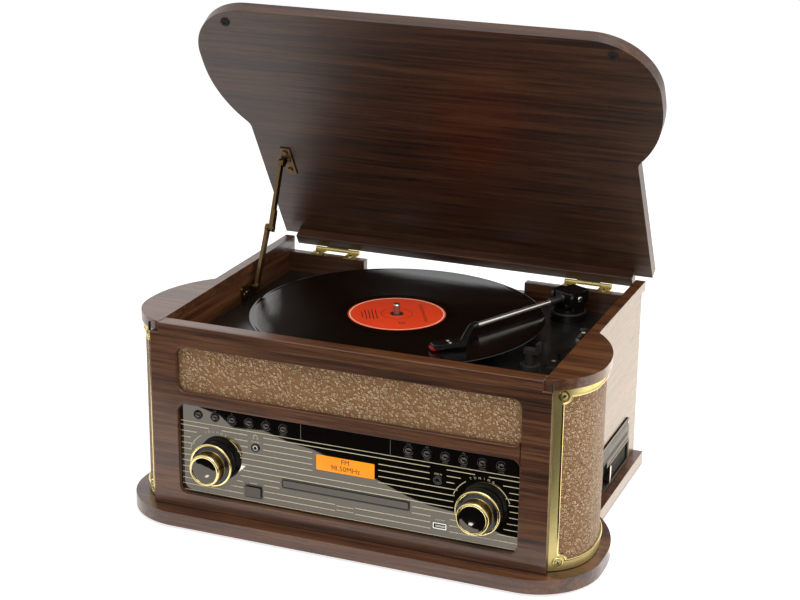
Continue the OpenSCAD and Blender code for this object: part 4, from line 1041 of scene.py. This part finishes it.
class MUSIC_OT_drawer_and_cassette(bpy.types.Operator):
    """Finishes the disc drawer and the cassette plate with its flap and lever"""

    bl_idname = "music.drawer_and_cassette"
    bl_label = "Disc drawer and cassette"

    def execute(self, context):
        dress("drawer_black", 0.3, "disc_drawer")
        dress("inner_black", 0, "disc_loader", "cassette_mechanism")
        width, height, z = TRAY
        lip = Shape()
        at = on_front(0, z, FASCIA_Y)
        lip.plate_ring(at, rounded(width + 3.6, height + 3.6, 1.4),
                       rounded(width + 1.2, height + 1.2, 0.8), -0.1, 0.5)
        piece("drawer_surround", lip, "cabinet", ["knob_black"], bevel=0.15)
        dress("cassette_dark", 0.4, "cassette_plate")
        dress("inner_black", 0.3, "cassette_flap")
        dress("nickel", 0.4, "eject_lever")
        self.plate_details()
        return {"FINISHED"}

    def plate_details(self):
        low, high = box("cassette_plate")
        mid_y, mid_z = (low.y + high.y) / 2, (low.z + high.z) / 2
        across, tall = high.y - low.y, high.z - low.z
        shape = Shape()
        at = on_right(mid_y, mid_z, SIDE_X)
        shape.plate_ring(at, rounded(across + 2.4, tall, 6), rounded(across - 1.2, tall - 1.2, 4.6),
                         0.0, 1.2, 2)
        face = on_right(mid_y, 0, high.x)
        for z, width in ((64.5, 1.0), (61.2, 0.6), (52.0, 5.0), (20.4, 0.6)):
            shape.strip(face, -across / 2 + 5, across / 2 - 5, z, width, 0.06, 0)
        flap_low, flap_high = box("cassette_flap")
        flap_mid = on_right((flap_low.y + flap_high.y) / 2, (flap_low.z + flap_high.z) / 2, high.x)
        opening = (flap_high.y - flap_low.y, flap_high.z - flap_low.z)
        shape.plate_ring(flap_mid, rounded(opening[0] + 4.4, opening[1] + 4.4, 1.5),
                         rounded(opening[0] + 1.6, opening[1] + 1.6, 0.6), -0.1, 0.5, 2)
        heads = [(low.y + 4.5, high.z - 4.5), (high.y - 4.5, high.z - 4.5), (low.y + 4.5, low.z + 4.5)]
        for y, z in heads:
            shape.cross_screw(on_right(y, z, high.x), 2.1, 0.7, 1, 0)
        shape.words(on_right(mid_y - 30, 57.6, high.x), "CASSETTE", 3.0, 0)
        piece("cassette_trim", shape, "cabinet",
              ["inner_black", "nickel", "cassette_metal"])
        ribs = Shape()
        centre = (flap_low.y + flap_high.y) / 2
        for k in range(5):
            z = flap_low.z + 3.2 + 3.0 * k
            rib = [(-26, -0.5), (26, -0.5), (26, 0.5), (-26, 0.5)]
            ribs.prism(on_right(centre, z, flap_high.x - 0.4), rib, 0, 0.75, 0, 0.1)
        piece("flap_ribs", ribs, "flap", ["inner_black"])


class MUSIC_OT_deck(bpy.types.Operator):
    """Finishes the deck, the platter and the record with its label"""

    bl_idname = "music.deck"
    bl_label = "Record deck"

    def execute(self, context):
        looks = context.scene.music_looks
        dress("deck_black", 0.6, "deck_plate")
        dress("platter_metal", 0.2, "platter")
        dress("inner_black", 0, "deck_motor", "transformer")
        dress("old_brass", 0.2, "motor_pulley")
        dress("arm_black", 0.4, "speed_selector")
        dress("nickel", 0.4, "cue_lever")
        low, high = box("record")
        edge = (high.x - low.x) / 2
        top, under = high.z, low.z
        at = upright(SPINDLE.x, SPINDLE.y, 0)
        label = looks.label_radius
        disc = Shape()
        disc.lathe(at, [(3.62, under), (3.62, top - 0.1), (label, top - 0.1), (label + 0.4, top - 0.12),
                        (60, top - 0.25), (61, top - 0.35), (145.5, top - 0.35), (147, top - 0.2),
                        (148.5, top), (149.6, top), (150.2, top - 0.3), (edge, (top + under) / 2),
                        (150.2, under + 0.3), (149, under), (3.62, under)], 256, 0)
        piece("record_disc", disc, "turntable", ["record_vinyl"], ["record"], angle=60)
        self.label(at, top, label)
        slip = Shape()
        slip.lathe(upright(SPINDLE.x, SPINDLE.y, top), [(7, -0.05), (6.6, 0.15), (3.63, 0.15),
                                                        (3.63, -0.1)], 48)
        piece("label_eyelet", slip, "turntable", ["label_print"])
        return {"FINISHED"}

    def label(self, at, top, radius):
        paper = Shape()
        paper.lathe(at, [(3.64, top - 0.1), (3.64, top), (radius - 0.5, top), (radius, top - 0.1)], 128, 0)
        face = upright(SPINDLE.x, SPINDLE.y, top)
        paper.arc(face, 0, 0, radius - 1.9, 1.1, 0, 359, finish=2)
        paper.arc(face, 0, 0, 16, 0.4, 0, 359, finish=1)
        turned = face @ Matrix.Rotation(math.radians(-62), 4, "Z")
        paper.words(turned @ upright(0, 27, 0), "LONG PLAYING RECORD", 3.4, 1)
        paper.words(turned @ upright(-27, 2, 0), "SIDE A", 4.6, 1)
        paper.words(turned @ upright(28, 2, 0), "33", 7.0, 1)
        for k, width in enumerate((26, 30, 24, 28, 18)):
            bar = turned @ upright(0, -21 - 3.6 * k, 0)
            paper.strip(bar, -width / 2, width / 2, 0, 0.9, finish=1)
        piece("record_label", paper, "turntable",
              ["label_orange", "label_print", "print_cream"])


class MUSIC_OT_tonearm(bpy.types.Operator):
    """Makes the tonearm with its turret, tube, shell, cartridge and rest"""

    bl_idname = "music.tonearm"
    bl_label = "Tonearm"

    def execute(self, context):
        dress("arm_black", 0.6, "tonearm_base", "arm_turret")
        dress("arm_grey", 0.5, "arm_rest")
        self.arm()
        self.shell()
        self.details()
        return {"FINISHED"}

    def arm(self):
        shape = Shape()
        block = rounded(23.4, 29, 2.5)
        shape.prism(ARM_FRAME @ upright(0, 4.5, -6.5), block, 0, 13, 0, 0.8)
        along = ARM_FRAME @ axes((1, 0, 0), (0, 0, 1), (0, -1, 0))
        shape.lathe(along, [(0, 9.8), (3.9, 9.8), (4.3, 10.4), (4.3, 11.8), (3.6, 12.4), (3.6, 29),
                            (3.2, 30), (2.5, 30)], 40, 1)
        shape.lathe(along, [(2.6, 29.5), (2.6, 141.2)], 40, 2)
        shape.lathe(along, [(2.75, 60), (2.75, 62)], 40, 2)
        shape.lathe(ARM_FRAME @ axes((0, 1, 0), (0, 0, 1), (1, 0, 0)),
                    [(0, -15), (1.5, -15), (1.5, 15), (0, 15)], 24, 2)
        piece("arm_assembly", shape, "arm", ["arm_black", "arm_grey", "arm_metal"],
              ["arm_tube"], bevel=0.25)

    def shell(self):
        low = box("headshell")[0]
        drop = 3
        neck = [(0, -136, 0), (0, -141, 0), (0.8, -145, -0.2), (10, -160, -1.6),
                (19, -174.5, -2.9), (20.4, -178, -3)]
        shape = Shape()
        shape.tube([ARM_FRAME @ Vector(p) for p in neck], [3.8, 3.8, 3.2, 3.1, 3.1, 3.0], 24, 0)
        head = ARM_FRAME @ upright(20, -175.5, -drop) @ Matrix.Rotation(math.radians(-22), 4, "Z")
        plate = [(-6.5, 1.5), (-5, 2.5), (5, 2.5), (6.5, 1.5), (6.5, -26), (5.5, -31), (4, -32),
                 (-4, -32), (-5.5, -31), (-6.5, -26)]
        shape.prism(head, plate[::-1], -1.5, 2.5, 0, 0.5)
        body = rounded(11, 20, 1)
        bottom = low.z + 1.6 - (ARM.z - drop)
        shape.prism(head @ upright(0, -19, 0), body, bottom, -1.4, 0)
        tip = rounded(10, 13, 1.2)
        shape.prism(head @ upright(0, -27, 0), tip, bottom - 0.6, bottom + 1.9, 1)
        shape.lathe(head @ upright(0, -29, 0), [(0.0, bottom - 1.6), (0.6, bottom - 0.4),
                                                (0.7, bottom + 0.3)], 16, 2)
        lift = [(6.2, -24, 0.2), (9, -24.5, 0.4), (12.5, -25.5, 1.0), (14.5, -26.5, 1.6)]
        shape.tube([head @ Vector(p) for p in lift], [1.0, 1.0, 0.9, 0.7], 12, 0)
        for x in (-3.2, 3.2):
            shape.cross_screw(head @ upright(x, -14, 2.5), 1.5, 0.6, 2, 0)
        piece("head_assembly", shape, "arm", ["arm_black", "stylus_red", "arm_metal"],
              ["headshell"], bevel=0.2)

    def details(self):
        caps = Shape()
        for side in (-1, 1):
            face = axes((0, side, 0), (0, 0, 1), (side, 0, 0), (side * 15.05, 0, 0))
            caps.cross_screw(ARM_FRAME @ face, 3.0, 1.1, 0, 1)
        piece("pivot_screws", caps, "arm_pillar", ["arm_metal", "inner_black"])
        ring = Shape()
        base = upright(ARM.x, ARM.y, box("tonearm_base")[1].z)
        ring.lathe(base, [(19.05, -1.4), (19.05, -0.5), (18.2, 0.12), (16.4, 0.12)], 64)
        piece("base_ring", ring, "cabinet", ["arm_grey"])
        clip = Shape()
        rest = middle("arm_rest")
        clip.tube([(rest.x - 4, rest.y + 5.2, 191.8), (rest.x - 4, rest.y, 191.9),
                   (rest.x - 4, rest.y - 5.2, 191.8)], 0.5, 10)
        clip.cross_screw(upright(rest.x + 3.0, rest.y, 191.6), 1.4, 0.5)
        piece("rest_clip", clip, "cabinet", ["arm_black"])
        marks = Shape()
        for turn, word in ((-35, "33"), (0, "45"), (35, "78")):
            around = upright(172, -6, DECK_Z + 1.5) @ Matrix.Rotation(math.radians(turn), 4, "Z")
            marks.words(around @ upright(0, -16, 0), word, 3.2)
        cue = middle("cue_lever")
        marks.words(upright(cue.x, cue.y + 22, DECK_Z + 1.5), "UP", 3.0)
        piece("deck_marks", marks, "cabinet", ["print_cream"])


def under_lid(x, y, z):
    """A frame on the closed lid's underside: its own z points down."""
    return axes((1, 0, 0), (0, -1, 0), (0, 0, -1), (x, y, z))


class MUSIC_OT_lid(bpy.types.Operator):
    """Finishes the lid, its bumpers, hinges and stay"""

    bl_idname = "music.lid"
    bl_label = "Lid, hinges and stay"

    def execute(self, context):
        looks = context.scene.music_looks
        dress("walnut_lid", looks.edge, "lid_board", "lid_batten")
        self.bumpers()
        self.hinges()
        self.stay()
        return {"FINISHED"}

    def bumpers(self):
        shape = Shape()
        for side in (-1, 1):
            at = LID_OPEN @ under_lid(side * 201, -157.4, 211.1)
            shape.lathe(at, [(4.8, 0), (4.8, 1.2), (4.5, 1.5), (3.6, 1.6), (1.9, 1.6), (1.7, 0.9),
                             (0, 0.9)], 40)
        piece("lid_feet", shape, "lid", ["rubber"], ["lid_bumpers"])

    def hinges(self):
        dress("gold_trim", 0.25, "hinge_lower_leaves", "hinge_upper_leaves")
        lower, knuckles = Shape(), Shape()
        for side in (-1, 1):
            for x in (side * HINGE_X - 19.5, side * HINGE_X + 19.5):
                lower.cross_screw(upright(x, 147.5, 196.55), 2.4, 0.9, 0, 1)
            for k in range(4):
                at = on_right(HINGE.y, HINGE.z, side * HINGE_X - 13 + 8.6 * k)
                knuckles.lathe(at, [(2.2, -0.2), (2.42, 0), (2.42, 0.4), (2.2, 0.6)], 32)
        piece("hinge_screws_low", lower, "cabinet", ["polished_gold", "inner_black"])
        piece("hinge_rings", knuckles, "cabinet", ["polished_gold"])

    def stay(self):
        dress("old_brass", 0.3, "stay_lower_bracket", "stay_upper_bracket", "stay_lower_arm",
              "stay_upper_arm")
        lower_pivot, upper_pivot = pivot("stay_lower_pivot"), pivot("stay_upper_pivot")
        elbow = Vector((-188.4, 75.0, 241.2))
        rivets = Shape()
        face = box("stay_lower_arm")[1].x
        rivets.lathe(on_right(lower_pivot.y, lower_pivot.z, face),
                     [(4.2, 0), (4.1, 0.7), (3.0, 1.2), (0, 1.4)], 28)
        piece("stay_rivet_low", rivets, "stay_lower", ["old_brass"])
        lock = Shape()
        at = on_right(elbow.y, elbow.z, box("stay_upper_arm")[1].x)
        ahead = Vector((0, upper_pivot.y - elbow.y, upper_pivot.z - elbow.z)).normalized()
        across = Vector((0, -ahead.z, ahead.y))
        plane = axes(across, ahead, (1, 0, 0), (at.translation.x, elbow.y, elbow.z))
        housing = [(-4.2, -4), (4.2, -4), (4.2, 16), (3.0, 20), (-3.0, 20), (-4.2, 16)]
        lock.prism(plane, housing, -0.3, 1.2)
        lock.lathe(plane, [(3.3, 1.0), (3.2, 1.9), (2.2, 2.4), (0, 2.6)], 28)
        lock.lathe(plane @ upright(0, 13, 0), [(1.8, 1.0), (1.7, 1.7), (0, 1.9)], 20)
        piece("stay_lock", lock, "stay_upper", ["old_brass"], bevel=0.25)
        heads = Shape()
        for y, z, x in ((100.7, 320.6, -179.5), (105.7, 311.8, -178.0)):
            near = LID_OPEN.inverted() @ Vector((x, y, z))
            seat = LID_OPEN @ under_lid(near.x, near.y, 209.6)
            heads.cross_screw(seat, 2.4, 1.0, 0, 1)
        piece("stay_screws_high", heads, "lid", ["old_brass", "inner_black"])
        low = Shape()
        bracket = box("stay_lower_bracket")
        for y in (bracket[0].y + 5, bracket[0].y + 16):
            low.cross_screw(on_right(y, 180.5, bracket[0].x + 2.2), 2.2, 0.9, 0, 1)
        piece("stay_screws_low", low, "cabinet", ["old_brass", "inner_black"])


class MUSIC_OT_rear(bpy.types.Operator):
    """Finishes the plate with the mains inlet and the audio outputs"""

    bl_idname = "music.rear"
    bl_label = "Rear terminals"

    def execute(self, context):
        dress("inner_black", 0.3, "rear_terminals")
        shape = Shape()
        face = box("rear_panel")[1].y + 2.0
        for x in (45.5, 146.5):
            for z in (76.5, 123.5):
                shape.cross_screw(on_rear(x, z, face), 2.4, 0.9, 0, 1)
        for x, z, word in ((62, 121, "MAINS"), (115, 121, "LINE OUT")):
            shape.words(on_rear(x, z, face), word, 3.4, 2)
        piece("rear_details", shape, "cabinet", ["steel", "inner_black", "print_cream"])
        return {"FINISHED"}


# The edge of the glare on the fascia, (x, z)
GLARE = ((-158.6, 124.9), (-146.2, 121.4), (-133.2, 118.5), (-119.3, 107.9), (-86.8, 110.5),
         (-60.1, 103.1), (-33.7, 99.3), (30.9, 80.5), (64.9, 67.9), (87.3, 62.7), (110.5, 60.8),
         (157.6, 47.1), (174.0, 45.1))
CAMERA_AT = Vector((0.65144, -1.6473, 0.81631))
CAMERA_AZIMUTH = math.radians(21.78)
CAMERA_PITCH = math.radians(18.93)
CAMERA_ROLL = math.radians(0.6)
CAMERA_LENS = 83.65


class MUSIC_OT_stage(bpy.types.Operator):
    """Sets up the floor, the reflections, the lamps and the camera"""

    bl_idname = "music.stage"
    bl_label = "Stage"

    def execute(self, context):
        look = context.scene.music_stage
        self.world(context, look)
        self.floor(look)
        self.cards(look)
        self.lamps(look)
        self.camera(context)
        context.scene.view_settings.view_transform = "Standard"
        return {"FINISHED"}

    def world(self, context, look):
        made = bpy.data.worlds.new("studio")
        made.use_nodes = True
        context.scene.world = made
        sky = Nodes(made.node_tree)
        sky.nodes.clear()
        white = (1, 1, 1, 1)
        soft = sky.node("ShaderNodeBackground", {"Color": white, "Strength": look.ambient})
        shown = sky.node("ShaderNodeBackground", {"Color": white, "Strength": 1.0})
        mixed = sky.node("ShaderNodeMixShader", {0: sky.seen(), 1: soft, 2: shown})
        sky.node("ShaderNodeOutputWorld", {"Surface": mixed}, output=None)

    def flat(self, name, corners, material):
        data = bpy.data.meshes.new(name)
        data.from_pydata([[c * MM for c in corner] for corner in corners], [], [range(len(corners))])
        data.materials.append(material)
        made = bpy.data.objects.new(name, data)
        bpy.context.scene.collection.objects.link(made)
        made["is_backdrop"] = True
        return made

    def floor(self, look):
        finish = Finish("floor", roughness=0.9, specular_ior_level=0.0, emission_strength=1.0)
        shine = [look.floor_lift] * 3 + [1]
        finish.set(base_color=(0.8, 0.8, 0.8, 1),
                   emission_color=finish.mix(finish.seen(), (0, 0, 0, 1), shine))
        far = 9000
        corners = [(-far, -far, 0), (far, -far, 0), (far, far, 0), (-far, far, 0)]
        self.flat("floor", corners, finish.material)

    def card(self, name, corners, colour, strength):
        """A card that only mirror-like surfaces see."""
        finish = Finish(name, base_color=(0, 0, 0, 1), roughness=1, specular_ior_level=0,
                        emission_strength=strength, emission_color=colour)
        made = self.flat(name, corners, finish.material)
        made.visible_camera = False
        made.visible_diffuse = False
        made.visible_shadow = False
        made.visible_transmission = False
        made.visible_volume_scatter = False

    def cards(self, look):
        eye = CAMERA_AT / MM
        mirrored = Vector((eye.x, 2 * FASCIA_Y - eye.y, eye.z))
        edge = []
        for x, z in GLARE:
            here = Vector((x, FASCIA_Y, z))
            ahead = here - mirrored
            edge.append(here + ahead * (here.z / -ahead.z))
        lift = 1.5
        line = [(p.x, p.y, lift) for p in edge]
        far = 4000
        corners = [(-far, line[0][1], lift), *line, (far, line[-1][1], lift), (far, -far, lift),
                   (-far, -far, lift)]
        self.card("dark_room", corners, (0.02, 0.018, 0.016, 1), 1.0)
        for x in (-188, 92):
            front, back, right, height = -290, -268, x + 13, 3
            patch = [(x, front, height), (right, front, height), (right, back, height),
                     (x, back, height)]
            self.card(f"window_{x + 200}", patch, (1, 1, 1, 1), look.window)
        near_x, far_x, near_y, far_y = 215, 900, -60, 900
        bright = [(near_x, near_y, lift), (far_x, near_y, lift), (far_x, far_y, lift),
                  (near_x, far_y, lift)]
        self.card("right_glow", bright, (1, 0.91, 0.79, 1), look.right_glow)

    def lamp(self, name, place, aim, size, power, glossy=True):
        data = bpy.data.lights.new(name, "AREA")
        data.shape = "RECTANGLE"
        data.size, data.size_y = size
        data.energy = power
        made = bpy.data.objects.new(name, data)
        made.location = place
        made.rotation_mode = "QUATERNION"
        made.rotation_quaternion = (Vector(aim) - Vector(place)).to_track_quat("-Z", "Y")
        made.visible_glossy = glossy
        made.visible_camera = False
        bpy.context.scene.collection.objects.link(made)

    def lamps(self, look):
        self.lamp("key", (0.5, -0.6, 2.0), (0, 0, 0.1), (1.4, 1.4), look.key)
        self.lamp("front_fill", (-0.9, -1.8, 0.9), (0, 0, 0.1), (1.2, 1.0), look.fill, glossy=False)
        self.lamp("right_side", (1.8, 0.3, 0.9), (0.1, 0, 0.15), (1.0, 1.2), look.side, glossy=False)

    def camera(self, context):
        a, p, r = CAMERA_AZIMUTH, CAMERA_PITCH, CAMERA_ROLL
        ahead = Vector((-math.sin(a) * math.cos(p), math.cos(a) * math.cos(p), -math.sin(p)))
        level = Vector((math.cos(a), math.sin(a), 0))
        above = level.cross(ahead)
        right = level * math.cos(r) + above * math.sin(r)
        up = above * math.cos(r) - level * math.sin(r)
        data = bpy.data.cameras.new("camera")
        data.lens = CAMERA_LENS
        data.sensor_width = 36
        data.sensor_fit = "HORIZONTAL"
        data.clip_start, data.clip_end = 0.05, 50
        made = bpy.data.objects.new("camera", data)
        made.matrix_world = axes(right, up, -ahead, CAMERA_AT)
        context.scene.collection.objects.link(made)
        context.scene.camera = made


# ---------- settings, panel and registration ----------


class MusicLooks(bpy.types.PropertyGroup):
    """Colours and small sizes of the object's finishes"""

    walnut_dark: FloatVectorProperty(
        name="Walnut, dark", description="Darkest figure of the walnut", subtype="COLOR",
        default=rgb(30, 16, 8)[:3], min=0, max=1)
    walnut_light: FloatVectorProperty(
        name="Walnut, light", description="Lightest figure of the walnut", subtype="COLOR",
        default=rgb(118, 76, 44)[:3], min=0, max=1)
    gold: FloatVectorProperty(
        name="Gold trim", description="Colour of the grille frames and hinges", subtype="COLOR",
        default=rgb(205, 189, 128)[:3], min=0, max=1)
    label: FloatVectorProperty(
        name="Label", description="Paper of the record's label", subtype="COLOR",
        default=rgb(226, 60, 10)[:3], min=0, max=1)
    display: FloatVectorProperty(
        name="Display", description="Light of the display", subtype="COLOR",
        default=rgb(255, 160, 6)[:3], min=0, max=1)
    display_text: StringProperty(
        name="Display text", description="Second line on the display", default="98.50MHz")
    edge: FloatProperty(
        name="Board edge", description="Rounding of the boards' edges, in millimetres",
        default=0.9, min=0.2, max=2)
    line_width: FloatProperty(
        name="Printed line", description="Width of the fascia's light lines, in millimetres",
        default=0.75, min=0.4, max=1.6)
    scroll_size: FloatProperty(
        name="Cloth scroll", description="Size of the scrolls in the speaker cloth, in millimetres",
        default=3.0, min=2, max=12)
    groove_pitch: FloatProperty(
        name="Groove pitch", description="Distance between the record's rings, in millimetres",
        default=0.9, min=0.3, max=2)
    label_radius: FloatProperty(
        name="Label radius", description="Radius of the record's label, in millimetres",
        default=50, min=30, max=55)


class MusicStage(bpy.types.PropertyGroup):
    """Strengths of the studio's lights"""

    key: FloatProperty(name="Key", description="Soft lamp above", default=24, min=0, unit="POWER")
    fill: FloatProperty(name="Fill", description="Lamp in front, left", default=7, min=0,
                        unit="POWER")
    side: FloatProperty(name="Side", description="Lamp on the right", default=12, min=0,
                        unit="POWER")
    window: FloatProperty(name="Window", description="Small bright cards seen in the knobs",
                          default=9, min=0)
    ambient: FloatProperty(name="Ambient", description="Light from all round", default=0.3, min=0)
    floor_lift: FloatProperty(name="Floor", description="Light of the floor itself",
                              default=0.72, min=0)
    right_glow: FloatProperty(name="Right glow", description="Bright floor seen in the right side",
                              default=2.3, min=0)


PIECES = (MUSIC_OT_cabinet, MUSIC_OT_grilles, MUSIC_OT_fascia, MUSIC_OT_keys, MUSIC_OT_knobs,
          MUSIC_OT_drawer_and_cassette, MUSIC_OT_deck, MUSIC_OT_tonearm, MUSIC_OT_lid,
          MUSIC_OT_rear, MUSIC_OT_stage)


class MUSIC_PT_panel(bpy.types.Panel):
    """Lists the pieces and their settings"""

    bl_idname = "MUSIC_PT_panel"
    bl_label = "Music centre"
    bl_space_type = "VIEW_3D"
    bl_region_type = "UI"
    bl_category = "Music centre"

    def draw(self, context):
        for operator in PIECES:
            self.layout.operator(operator.bl_idname)
        for settings in (context.scene.music_looks, context.scene.music_stage):
            column = self.layout.column()
            for name in settings.__annotations__:
                column.prop(settings, name)


CLASSES = (MusicLooks, MusicStage, *PIECES, MUSIC_PT_panel)


def register():
    for made in CLASSES:
        bpy.utils.register_class(made)
    bpy.types.Scene.music_looks = PointerProperty(type=MusicLooks)
    bpy.types.Scene.music_stage = PointerProperty(type=MusicStage)


def unregister():
    del bpy.types.Scene.music_stage
    del bpy.types.Scene.music_looks
    for made in reversed(CLASSES):
        bpy.utils.unregister_class(made)


def corners():
    return [list(corner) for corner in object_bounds()]


def main():
    """Builds every piece in order."""
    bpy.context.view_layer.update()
    register()
    FINISHES.update(make_finishes(bpy.context.scene.music_looks))
    for operator in PIECES:
        module, name = operator.bl_idname.split(".")
        getattr(getattr(bpy.ops, module), name)()


if __name__ == "__main__":
    main()
